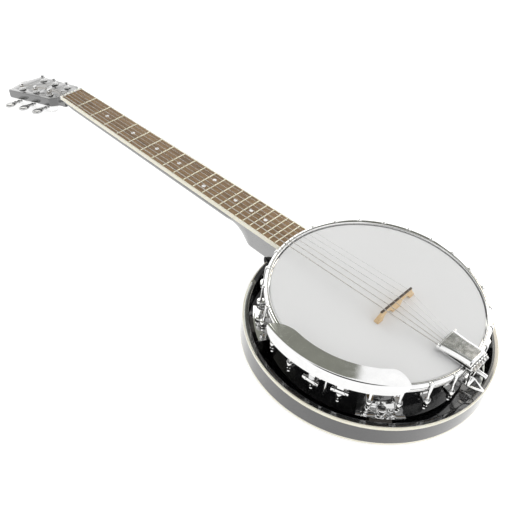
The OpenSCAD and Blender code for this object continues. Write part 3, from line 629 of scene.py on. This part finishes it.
def notched_hoop():
    """Tension hoop whose top is notched at each hook."""
    full = rounded([(HOOP_IN, HOOP_LOW), (HOOP_R, HOOP_LOW), (HOOP_R, HOOP_TOP), (HOOP_IN, HOOP_TOP)],
                   [0.5, 0.5, 1.3, 1.1], 4)
    floor_z = HOOP_TOP - 1.15
    step_r = HOOP_IN + 3
    groove = [(step_r + 0.45, HOOP_TOP), (step_r + 0.02, HOOP_TOP - 0.5), (step_r - 0.02, HOOP_TOP - 0.5),
              (step_r - 0.45, HOOP_TOP)]
    line = [(HOOP_R, HOOP_LINE - 0.4), (HOOP_R - 0.25, HOOP_LINE - 0.25),
            (HOOP_R - 0.25, HOOP_LINE + 0.25), (HOOP_R, HOOP_LINE + 0.4)]
    full = full[:10] + line + full[10:15] + groove + full[15:]
    cut = [(r, min(z, floor_z)) if r > step_r else (r, z) for r, z in full]
    half = math.degrees(math.asin(2.9 / 145))
    marks = [(a * 1.5, full) for a in range(240)]
    marks = [m for m in marks if all(abs((m[0] - a + 180) % 360 - 180) > half + 0.2 for a in HOOK_ANGLES)]
    for a in HOOK_ANGLES:
        marks += [((a - half - 0.12) % 360, full), ((a - half) % 360, cut), (a % 360, cut),
                  ((a + half) % 360, cut), ((a + half + 0.12) % 360, full)]
    marks.sort(key=lambda m: m[0])
    rings = [[(r * math.cos(math.radians(a)), r * math.sin(math.radians(a)), z) for r, z in outline]
             for a, outline in marks]
    return skin(rings, loop=True)


hoop = add("hoop_ring", notched_hoop(), M["chrome"], ("tension_hoop",), sharp=30)
# Dark, rough metal lies in the two turned lines and under the lower edge: painted shade.
hoop.data.materials.append(M["painted_shade_metal"])
for face in hoop.data.polygons:
    reach = math.hypot(face.center.x, face.center.y) / MM
    level = face.center.z / MM
    on_top = abs(reach - HOOP_IN - 3) < 0.46 and level > HOOP_TOP - 0.7
    on_side = reach > HOOP_R - 0.3 and abs(level - HOOP_LINE) < 0.39
    if on_top or on_side or level < HOOP_LOW + 0.35:
        face.material_index = 1


def hook_shape():
    """One hook: a flat claw over the hoop, a tapered leg and a threaded rod, swept in the XZ plane."""
    top = HOOP_TOP - 0.05
    stations = [(HOOK_R - 4.6, top, 2.4, 0.7, 0.3), (HOOK_R - 4.3, top, 2.5, 1.0, 0.4),
                (HOOK_R - 1.9, top, 2.5, 1.05, 0.4)]
    rings = []
    for x, z, half_w, half_t, blend in stations:
        rings.append(hook_ring((x, z), (1, 0), half_w, half_t, blend))
    for k in range(1, 7):
        a = math.radians(90 - 90 * k / 6)
        point = (HOOK_R - 1.9 + 1.9 * math.cos(a), top - 1.9 + 1.9 * math.sin(a))
        rings.append(hook_ring(point, (math.sin(a), -math.cos(a)), 2.5, 1.0, 0.4))
    for z, half_w, half_t, blend in ((76, 2.5, 1.0, 0.4), (72, 2.25, 1.0, 0.5), (68, 1.85, 1.1, 0.7),
                                     (66.5, 1.8, 1.4, 0.95), (65.4, 1.8, 1.8, 1.0), (62, 1.85, 1.85, 1.0),
                                     (53.5, 1.85, 1.85, 1.0)):
        rings.append(hook_ring((HOOK_R, z), (0, -1), half_w, half_t, blend))
    end_z = low("hooks").z
    z = 53
    while z > end_z + 0.6:
        for r in (1.85, 1.6):
            rings.append(hook_ring((HOOK_R, z), (0, -1), r, r, 1.0))
            z -= 0.4
    rings.append(hook_ring((HOOK_R, end_z), (0, -1), 1.1, 1.1, 1.0))
    return skin(rings)


def hook_ring(point, ahead, half_w, half_t, roundness, n=16):
    """A cross-section between a rectangle (roundness 0) and an ellipse (roundness 1)."""
    power = 0.25 + 0.75 * roundness
    ring = []
    for i in range(n):
        a = 2 * math.pi * (i + 0.5) / n
        c = math.copysign(abs(math.cos(a)) ** power, math.cos(a)) * half_w
        s = math.copysign(abs(math.sin(a)) ** power, math.sin(a)) * half_t
        ring.append((point[0] - ahead[1] * s, c, point[1] + ahead[0] * s))
    return ring


one_hook = hook_shape()
hooks = Shape()
for angle in HOOK_ANGLES:
    hooks.put(one_hook, spun(angle))
add("claw_hooks", hooks, M["chrome"], ("hooks",), sharp=50)


def hex_nut(across, height, bore, z0):
    """A nut with chamfered corners and a washer face, open for its rod."""
    r = across / math.sqrt(3)
    outer = []
    for i in range(48):
        a = 2 * math.pi * i / 48
        flat = across / 2 / math.cos((a % (math.pi / 3)) - math.pi / 6)
        outer.append((min(flat, r), a))

    def ring(limit, z):
        return [(min(q, limit) * math.cos(a), min(q, limit) * math.sin(a), z) for q, a in outer]

    def hole(radius, z):
        return [(radius * math.cos(a), radius * math.sin(a), z) for q, a in outer]

    rings = [hole(bore, z0), hole(across / 2 - 0.2, z0), ring(across / 2 - 0.05, z0 + 0.15),
             ring(r, z0 + 0.75), ring(r, z0 + height - 0.75), ring(across / 2 - 0.05, z0 + height - 0.1),
             hole(across / 2 - 0.3, z0 + height), hole(bore, z0 + height)]
    return skin(rings, loop=True)


nuts = Shape()
nut_z = low("hook_nuts").z
for angle in HOOK_ANGLES:
    nuts.put(hex_nut(6.9, 6, 1.95, nut_z), spun(angle) @ move(HOOK_R, 0, 0))
add("chamfered_nuts", nuts, M["chrome"], ("hook_nuts",))

bevelled("bracket_shoes", 0.5, M["chrome"])
bevelled("resonator_plates", 0.35, M["chrome"])
bevelled("resonator_lugs", 0.8, M["raw_wood"])
bevelled("armrest_clamps", 0.3, M["chrome"])
bevelled("tailpiece_base", 0.25, M["chrome"])
bevelled("tailpiece_hanger", 0.3, M["chrome"])
bevelled("tuner_housings", 0.7, M["chrome"], steps=3)
bevelled("tuner_lids", 0.5, M["chrome"])
bevelled("tuner_bushings", 0.3, M["key_metal"])
bevelled("headstock_veneer", 0.3, M["black_wood"])
bevelled("heel_cap", 0.6, M["black_wood"])
bevelled("truss_rod_cover", 0.4, M["black_plastic"])
bevelled("nut", 0.25, M["pale_ivory"])


def knurled(r, z0, z1, ridges=26, depth=0.35):
    rings = []
    for z, share, grip in ((z0, 0.82, 0), (z0 + 0.5, 0.95, 0.3), (z0 + 1.1, 1, 1), (z1 - 1.1, 1, 1),
                           (z1 - 0.5, 0.95, 0.3), (z1, 0.82, 0), (z1 + 0.02, 0.4, 0)):
        rings.append([((r * share - depth * grip * (i % 2)) * math.cos(math.pi * i / ridges),
                       (r * share - depth * grip * (i % 2)) * math.sin(math.pi * i / ridges), z)
                      for i in range(2 * ridges)])
    return skin(rings)


thumbs = Shape()
thumb_low = low("thumb_screws").z
thumb_top = high("thumb_screws").z
for angle in PLATE_ANGLES:
    spot = spun(angle) @ move(149, 0, 0)
    thumbs.put(knurled(6, thumb_top - 8, thumb_top - 0.02), spot)
    thumbs.put(spindle([(2.3, thumb_low), (2.5, thumb_low + 0.4), (2.5, thumb_top - 11.2),
                        (4, thumb_top - 11), (4, thumb_top - 9), (3.4, thumb_top - 8.2),
                        (3.4, thumb_top - 7.9)]), spot)
add("knurled_thumb_screws", thumbs, M["chrome"], ("thumb_screws",))


# ------------------------------------------------------------------ armrest

ARM_C = (-3.2, 7.9)
ARM_IN = 129.5
ARM_OUT = 155.4
ARM_TOP = high("armrest").z
ARM_LOW = low("armrest").z
ARM_T = 1.3
ARM_ENDS = ((161, 12.3, 20), (234.3, -6.5, -22))
FOLD_R = 3.2


def armrest():
    """A chrome sheet folded down at its outer side; both rounded ends meet the fold in a tip."""
    line = [(ARM_IN + s, ARM_TOP) for s in (0, 0.2, 0.6, 1.2, 2.2, 3.6, 5.4, 7.6, 10, 12.6, 15.2, 17.6,
                                            19.6, 21, 22)]
    line += arc(ARM_OUT - FOLD_R, ARM_TOP - FOLD_R, FOLD_R, 90, 0, 10)
    depth = ARM_TOP - FOLD_R - ARM_LOW
    line += [(ARM_OUT, ARM_TOP - FOLD_R - depth * v) for v in (0.1, 0.22, 0.36, 0.5, 0.63, 0.75, 0.84,
                                                               0.91, 0.96, 0.985, 1.0)]
    fold = ARM_OUT - 1
    around = 96

    def end_angle(r, z, which):
        a, run, skirt_run = ARM_ENDS[which]
        if z > ARM_TOP - 1 and r < fold:
            across = min(1.0, max(0.0, (fold - r) / (fold - ARM_IN)))
            return a + run * (1 - math.sqrt(max(0.0, 1 - across ** 2)))
        down = min(1.0, max(0.0, (ARM_TOP - 3 - z) / (ARM_TOP - 3 - ARM_LOW)))
        pull = skirt_run * (1 - math.sqrt(max(0.0, 1 - down ** 2)))
        return a + math.degrees(pull / ARM_OUT)

    def layer(offset):
        grid = []
        for i, (r, z) in enumerate(line):
            prev = line[max(i - 1, 0)]
            post = line[min(i + 1, len(line) - 1)]
            dr, dz = post[0] - prev[0], post[1] - prev[1]
            size = math.hypot(dr, dz)
            rr = r + offset * dz / size
            zz = z - offset * dr / size
            a0, a1 = end_angle(r, z, 0), end_angle(r, z, 1)
            row = []
            for j in range(around + 1):
                a = math.radians(a0 + (a1 - a0) * j / around)
                row.append((ARM_C[0] + rr * math.cos(a), ARM_C[1] + rr * math.sin(a), zz))
            grid.append(row)
        return grid

    return sheet_between(layer(0), layer(ARM_T))


add("armrest_shell", armrest(), M["chrome"], ("armrest",), sharp=50)


# ------------------------------------------------------------------ neck

def smooth(t):
    t = min(1.0, max(0.0, t))
    return t * t * (3 - 2 * t)


def mixed(a, b, t):
    return a + (b - a) * t


def board_z(y):
    return NUT_Z + (NUT_Y - y) * TILT


def neck_depth(y):
    if y > HEEL_Y:
        return mixed(19, 15, min(1, (y - HEEL_Y) / (NUT_Y - 30 - HEEL_Y)))
    return mixed(19, board_z(y) - BOARD_T - 0.02 - HEEL_Z, smooth((HEEL_Y - y) / 33))


def neck_section(y, w, d, heel, n=36):
    z = board_z(y) - BOARD_T - 0.02
    ring = []
    for i in range(n + 1):
        a = math.pi * i / n
        c, fall = math.cos(a), abs(math.sin(a)) ** 0.9
        flank = math.copysign(min(1, 2.6 * abs(c)), c) * mixed(w, HEEL_FOOT, fall)
        ring.append((mixed(w * c, flank, heel), y, z - d * fall))
    return ring


def board_w(y):
    return mixed(NUT_W, BODY_W, (NUT_Y - y) / (NUT_Y - BOARD_END_R))


stations = [130, 145, 160, 175, 185, 192] + list(range(196, 262, 3)) + list(range(268, 592, 18))
rings = [neck_section(y, board_w(y) / 2 - 0.2, neck_depth(y), smooth((HEEL_Y + 10 - y) / 38))
         for y in stations]
for k in range(9):
    t = k / 8
    y = mixed(592, NUT_Y + 4.5, t)
    rings.append(neck_section(y, mixed(board_w(592), NUT_W, min(1, t * 1.2)) / 2 - 0.2 - 0.2 * t,
                              mixed(15, 10.5, smooth(t)), 0))
neck = add("neck_shaft", skin(rings), M["black_wood"], ("neck",), sharp=32)

head_half = [(NUT_W / 2 - 0.3, -9), (NUT_W / 2 - 0.3, 5)]
head_half += [(mixed(NUT_W / 2, 30, smooth(i / 12)), mixed(8, 22, i / 12)) for i in range(13)]
head_half += [(30.5, 58), (32.5, 95), (34, 133)]
head_half += [(34 * (1 - i / 12), 133 + 4 * (i / 12) + 10 * (i / 12) ** 3) for i in range(1, 13)]
head_outline = head_half + [(-x, y) for x, y in reversed(head_half[:-1])]
IN_HEAD = move(0, NUT_Y + NUT_T, NUT_Z - FACE_DROP) @ Matrix.Rotation(-HEAD_ANGLE, 4, "X")
IN_NECK = move(0, NUT_Y, NUT_Z) @ Matrix.Rotation(-math.atan(TILT), 4, "X")


def placed(part, place):
    """Moves a (verts, faces) pair."""
    return [tuple(place @ Vector(p)) for p in part[0]], part[1]


head_slab = placed(slab(list(reversed(head_outline)), -HEAD_T, -VENEER_T, 0.0, 4, 2.2), IN_HEAD)
carved(neck, [head_slab], "UNION")
carved(neck, [
    placed(block(-40, 40, -40, NUT_T, -BOARD_T - 0.3, 24), IN_NECK),
    placed(spindle([(RIM_R + 0.1, 5), (RIM_R + 0.1, RIM_TOP + 0.3)], 240), move(0, 0, 0)),
    placed(spindle([(BOARD_END_R, RIM_TOP - 1), (BOARD_END_R, 120)], 240), move(0, 0, 0))])


# ------------------------------------------------------------------ tuners

def oval(a, b, t, n=40, layers=7):
    """A pillow-shaped tuner button in the XY plane, t thick."""
    rings = []
    for k in range(-layers, layers + 1):
        v = math.sin(math.pi / 2 * k / layers)
        share = max(0.02, (1 - abs(v) ** 2.6) ** (1 / 2.6))
        rings.append([(a * share * math.cos(2 * math.pi * i / n), b * share * math.sin(2 * math.pi * i / n),
                       t / 2 * v) for i in range(n)])
    return skin(rings)


def worm():
    """A single-start thread: a round section turning about the axis as the CAD worm does."""
    turns = 3
    rings = []
    for k in range(16 * turns + 1):
        t = k / (16 * turns)
        a = 2 * math.pi * turns * t - math.pi / 2
        rings.append([(TOOTH * math.cos(a) + WORM_R * math.cos(b + a),
                       TOOTH * math.sin(a) + WORM_R * math.sin(b + a), (t - 0.5) * turns * WORM_PITCH)
                      for b in (2 * math.pi * i / 24 for i in range(24))])
    return skin(rings)


ALONG_X = Matrix.Rotation(math.pi / 2, 4, "Y")


def tuner_key():
    shape = Shape()
    reach = 24.5
    axis = move(0, WORM_S, WORM_Z) @ ALONG_X
    shape.put(worm(), axis)
    shape.put(spindle([(1.2, -7), (1.5, -6.7), (1.5, -4.2)]), axis)
    shape.put(spindle([(2, 4.2), (2, 8.6), (2.9, 8.8), (2.9, 10), (2, 10.3), (1.9, 12.5), (2.6, 13.4),
                       (3.0, 14.6), (3.0, 16.6), (2.5, 17.6), (1.2, 18.4)]), axis)
    shape.put(oval(9, 9.5, 6), move(reach, WORM_S, WORM_Z))
    return shape


def gear(z0, z1):
    rings = []
    for z, trim in ((z0, 0.35), (z0 + 0.35, 0), (z1 - 0.35, 0), (z1, 0.35)):
        ring = []
        for k in range(168):
            a = 2 * math.pi * k / 168
            r = WHEEL_R + TOOTH * math.cos(WHEEL_TEETH * (a - math.pi / 2)) - trim
            ring.append((r * math.cos(a), r * math.sin(a), z))
        rings.append(ring)
    return skin(rings)


def string_post():
    shape = Shape()
    shape.put(spindle([(2, -26), (2, -24.6), (3, -24.6), (3, 3.6), (2.75, 4.2), (2.6, 5.4), (2.6, 7.8),
                       (2.75, 9), (3, 9.5), (3, 10.1), (2.6, 10.5)], 36))
    shape.put(gear(WORM_Z - 1.5, WORM_Z + 1.5))
    return shape


# Radii of the six strings, and which of them each post holds.
STRING_R = (0.6, 0.48, 0.38, 0.3, 0.22, 0.16)
STRING_OF = {1: 0, 2: 1, 3: 2, 4: 5, 5: 4, 6: 3}
for i in range(1, 7):
    side = -1 if i <= 3 else 1
    k = (i - 1) % 3
    place = IN_HEAD @ move(side * POST_X[k], POST_S[k], 0) @ Matrix.Diagonal((side, 1, 1, 1))
    add(f"key_{i}_turned", carried(tuner_key(), place), M["key_metal"],
        (f"tuner_key_{i}",), f"key_{i}")
    add(f"post_{i}_turned", carried(string_post(), place), M["chrome"],
        (f"string_post_{i}",), f"post_{i}")
    r = STRING_R[STRING_OF[i]]
    turns = 3.6
    steps = 90
    coil = [((3.02 + r) * math.cos(2 * math.pi * turns * t), (3.02 + r) * math.sin(2 * math.pi * turns * t),
             7.0 - 2.1 * r * turns * t) for t in (j / steps for j in range(steps + 1))]
    slot_name = "wound_string" if STRING_OF[i] < 3 else "plain_string"
    add(f"winding_{i}", Shape().put(tube(coil, r, 8), place), M[slot_name], (), f"post_{i}")


# ------------------------------------------------------------------ tailpiece cover

COVER_TILT = 3.7
COVER_T = 1.3
CREASES = 56


def tail_cover():
    """A bent sheet that narrows to the rear: ribbed sloping flanks, a bevelled rear wall and hinge lugs."""
    top = HOOP_TOP + 8.6
    flank = HOOP_TOP + 3
    rear = -150.4
    front = PIN_Y - 0.7
    shape = Shape()

    def sheet(offset):
        rows = []
        for k in range(CREASES + 5):
            t = min(1.0, k / CREASES)
            down = max(0, k - CREASES) / 4
            rib = 0.16 if offset == 0 and k % 2 and 2 < k < CREASES - 2 else 0.0
            y = mixed(front, rear + 2.6, t) - 2.6 * math.sin(math.pi / 2 * min(1, down * 2))
            drop = 2.2 * (1 - math.cos(math.pi / 2 * min(1, down * 2))) + 2.6 * max(0, down * 2 - 1)
            half = mixed(20, 17, (y - front) / (rear - front)) - 0.9 * math.sin(math.pi * t) ** 0.9
            section = [(half, flank), (half, top - 3.9), (half - 0.25 - rib, top - 3.3),
                       (half - 2.6 - rib, top - 0.75 - rib), (half - 3.1, top - 0.3),
                       (half - 3.7, top - 0.08)]
            section += [(half * 0.55, top - 0.12), (half * 0.25, top - 0.2), (0, top - 0.22)]
            section += [(-x, z) for x, z in reversed(section[:-1])]
            row = []
            for i, (x, z) in enumerate(section):
                a = section[max(i - 1, 0)]
                b = section[min(i + 1, len(section) - 1)]
                size = math.hypot(b[0] - a[0], b[1] - a[1])
                nx, nz = (b[1] - a[1]) / size, -(b[0] - a[0]) / size
                inward = offset * (1 if down == 0 else 0.7)
                zz = max(z - drop, flank) if down else z
                row.append((x - nx * inward, y + (offset if down else 0), zz - nz * inward))
            rows.append(row)
        return rows

    shape.put(sheet_between(sheet(0), sheet(COVER_T)))
    for x in (-20, 18.7):
        shape.put(skin([[(x + dx, PIN_Y + r * math.cos(a), PIN_Z + r * math.sin(a))
                         for a in (2 * math.pi * i / 28 for i in range(28))]
                        for dx, r in ((0, 2.1), (0.25, 2.4), (1.05, 2.4), (1.3, 2.1))]))
    lean = Matrix.Rotation(math.radians(-COVER_TILT), 4, "X")
    return carried(shape, move(0, PIN_Y, PIN_Z) @ lean @ move(0, -PIN_Y, -PIN_Z))


cover = add("cover_sheet", tail_cover(), M["cover_metal"], ("tailpiece_cover",),
            "cover", sharp=40)
# The flanks and the rear bevel are bright plate, the flat top is brushed.
cover.data.materials.append(M["cover_edge"])
for face in cover.data.polygons:
    if abs(face.normal.x) > 0.35 or face.normal.y < -0.35:
        face.material_index = 1


# ------------------------------------------------------------------ bridge

def bridge_body():
    """Three-footed bridge: a thin crown that spreads to its feet, with two arches."""
    z0 = HEAD_Z + 0.02
    tall = 13.0
    y0 = (low("bridge").y + high("bridge").y) / 2

    def thick(z):
        return mixed(3.6, 1.3, min(1, max(0, (z - 1) / (tall - 1))))

    outline = [(-39.3, 0), (-29.6, 0), (-29.2, 1.5)]
    outline += [(-18.5 + 10.8 * math.cos(math.radians(a)), -1 + 8.6 * math.sin(math.radians(a)))
                for a in range(165, 14, -10)]
    outline += [(-7.9, 1.5), (-7.5, 0), (7.5, 0), (7.9, 1.5)]
    outline += [(18.5 + 10.8 * math.cos(math.radians(a)), -1 + 8.6 * math.sin(math.radians(a)))
                for a in range(165, 14, -10)]
    outline += [(29.2, 1.5), (29.6, 0), (39.3, 0), (38.8, 2.6), (36, 6.2), (33.2, 10), (32.3, tall),
                (-32.3, tall), (-33.2, 10), (-36, 6.2), (-38.8, 2.6)]
    rings = []
    for share, trim in ((-1, 0.3), (-0.85, 0), (0.85, 0), (1, 0.3)):
        ring = inset(outline, trim)
        rings.append([(x, y0 + share * thick(z), z0 + max(0, min(z, tall))) for x, z in ring])
    return skin(rings)


add("bridge_carved", bridge_body(), M["maple"], ("bridge",), sharp=35)
bevelled("bridge_top", 0.15, M["ebony"])


# ------------------------------------------------------------------ floor, light, camera

FLOOR_GLOW = 0.8


def floor():
    mesh = bpy.data.meshes.new("floor")
    size = 6.0
    mesh.from_pydata([(-size, -size, 0), (size, -size, 0), (size, size, 0), (-size, size, 0)], [],
                     [(0, 1, 2, 3)])
    obj = bpy.data.objects.new("floor", mesh)
    bpy.context.scene.collection.objects.link(obj)
    p = Paint("pale_floor").set(Roughness=0.9, Specular_IOR_Level=0.1, Emission_Strength=FLOOR_GLOW)
    p.bsdf.inputs["Emission Color"].default_value = (1, 1, 1, 1)
    p.colour(p.ramp(p.noise(3, 2), [(0.3, 0.46), (0.7, 0.48)]))
    mesh.materials.append(p.mat)


floor()


AZ_GREY = 25.5
WORLD_BASE = (1.12, 1.12, 1.12)
WORLD_GREY = (0.245, 0.25, 0.215)
WORLD_PANEL = (1.8, 1.79, 1.75)
WORLD_WARM = (4.6, 4.25, 3.6)
WORLD_OLIVE = (4.4, 4.5, 4.1)


def studio_world():
    """A white surround with two bright panels and a grey gap between them, a grey area above, a warm
    patch and an olive one, and a dark area on the side that the camera looks from. All of them are
    fixed in the model's frame."""
    world = bpy.data.worlds.new("studio")
    bpy.context.scene.world = world
    world.use_nodes = True
    tree = world.node_tree
    sky = next(n for n in tree.nodes if n.type == "BACKGROUND")
    coords = tree.nodes.new("ShaderNodeTexCoord")
    split = tree.nodes.new("ShaderNodeSeparateXYZ")
    tree.links.new(coords.outputs["Generated"], split.inputs[0])

    def math_node(kind, *values):
        node = tree.nodes.new("ShaderNodeMath")
        node.operation = kind
        for i, v in enumerate(values):
            if isinstance(v, (int, float)):
                node.inputs[i].default_value = v
            else:
                tree.links.new(v, node.inputs[i])
        return node.outputs[0]

    def step(value, at, soft):
        node = tree.nodes.new("ShaderNodeMapRange")
        node.interpolation_type = "SMOOTHSTEP"
        node.inputs["From Min"].default_value = at - soft
        node.inputs["From Max"].default_value = at + soft
        tree.links.new(value, node.inputs["Value"])
        return node.outputs["Result"]

    def band(value, lo, hi, soft):
        return math_node("MULTIPLY", step(value, lo, soft),
                         math_node("SUBTRACT", 1.0, step(value, hi, soft)))

    azimuth = math_node("MULTIPLY", math_node("ARCTAN2", split.outputs["Y"], split.outputs["X"]), 57.29578)
    height = math_node("MULTIPLY", math_node("ARCSINE", split.outputs["Z"]), 57.29578)
    wobble = tree.nodes.new("ShaderNodeTexNoise")
    wobble.inputs["Scale"].default_value = 9.0
    wobble.inputs["Detail"].default_value = 2.0
    tree.links.new(coords.outputs["Generated"], wobble.inputs["Vector"])
    drift = math_node("MULTIPLY_ADD", wobble.outputs["Fac"], 2.4, -1.2)
    azimuth_w = math_node("ADD", azimuth, drift)

    def lerp(base, amount, value):
        node = tree.nodes.new("ShaderNodeMix")
        node.data_type = "RGBA"
        tree.links.new(amount, node.inputs[0])
        for v, key in ((base, 6), (value, 7)):
            if isinstance(v, tuple):
                node.inputs[key].default_value = (*v, 1)
            else:
                tree.links.new(v, node.inputs[key])
        return node.outputs[2]

    grey = math_node("MULTIPLY", band(azimuth_w, AZ_GREY, 125, 0.25), band(height, 20, 80, 3.0))
    colour = lerp(WORLD_BASE, grey, WORLD_GREY)
    gap = math_node("MULTIPLY", band(azimuth, 20, 33, 0.5), band(height, 18, 45.8, 0.3))
    colour = lerp(colour, gap, WORLD_GREY)
    panel = math_node("MULTIPLY", band(azimuth, -35, 20, 0.5), band(height, 14, 45.8, 0.3))
    colour = lerp(colour, panel, WORLD_PANEL)
    panel = math_node("MULTIPLY", band(azimuth, 33, 80, 0.5), band(height, 14, 45.8, 0.3))
    colour = lerp(colour, panel, WORLD_PANEL)
    patch = math_node("MULTIPLY", band(azimuth, 8, 20, 0.5), band(height, 41.5, 45.8, 0.3))
    colour = lerp(colour, patch, WORLD_WARM)
    patch = math_node("MULTIPLY", band(azimuth, 35.6, 50, 0.4), band(height, 43.6, 48.8, 0.3))
    colour = lerp(colour, patch, WORLD_OLIVE)
    dot = math_node("ADD", math_node("MULTIPLY", split.outputs["X"], -0.615),
                    math_node("ADD", math_node("MULTIPLY", split.outputs["Y"], -0.296),
                              math_node("MULTIPLY", split.outputs["Z"], 0.730)))
    dark = step(dot, 0.90, 0.03)
    colour = lerp(colour, dark, (0.03, 0.03, 0.03))
    tree.links.new(colour, sky.inputs["Color"])
    sky.inputs["Strength"].default_value = 1.0


studio_world()

CAMERA_AT = (-0.7253, -0.3483, 0.8584)
CAMERA_AHEAD = (0.5818, 0.4465, -0.6798)
CAMERA_UP = (0.4464, 0.5233, 0.7258)
cam = bpy.data.cameras.new("camera")
cam.lens = 60.89
cam.sensor_width = 36
camera = bpy.data.objects.new("camera", cam)
back = -Vector(CAMERA_AHEAD).normalized()
up = Vector(CAMERA_UP)
right = up.cross(back).normalized()
up = back.cross(right)
camera.matrix_world = Matrix.Translation(CAMERA_AT) @ Matrix(
    (right, up, back)).transposed().to_4x4()
bpy.context.scene.collection.objects.link(camera)
bpy.context.scene.camera = camera
bpy.context.scene.view_settings.view_transform = "Standard"
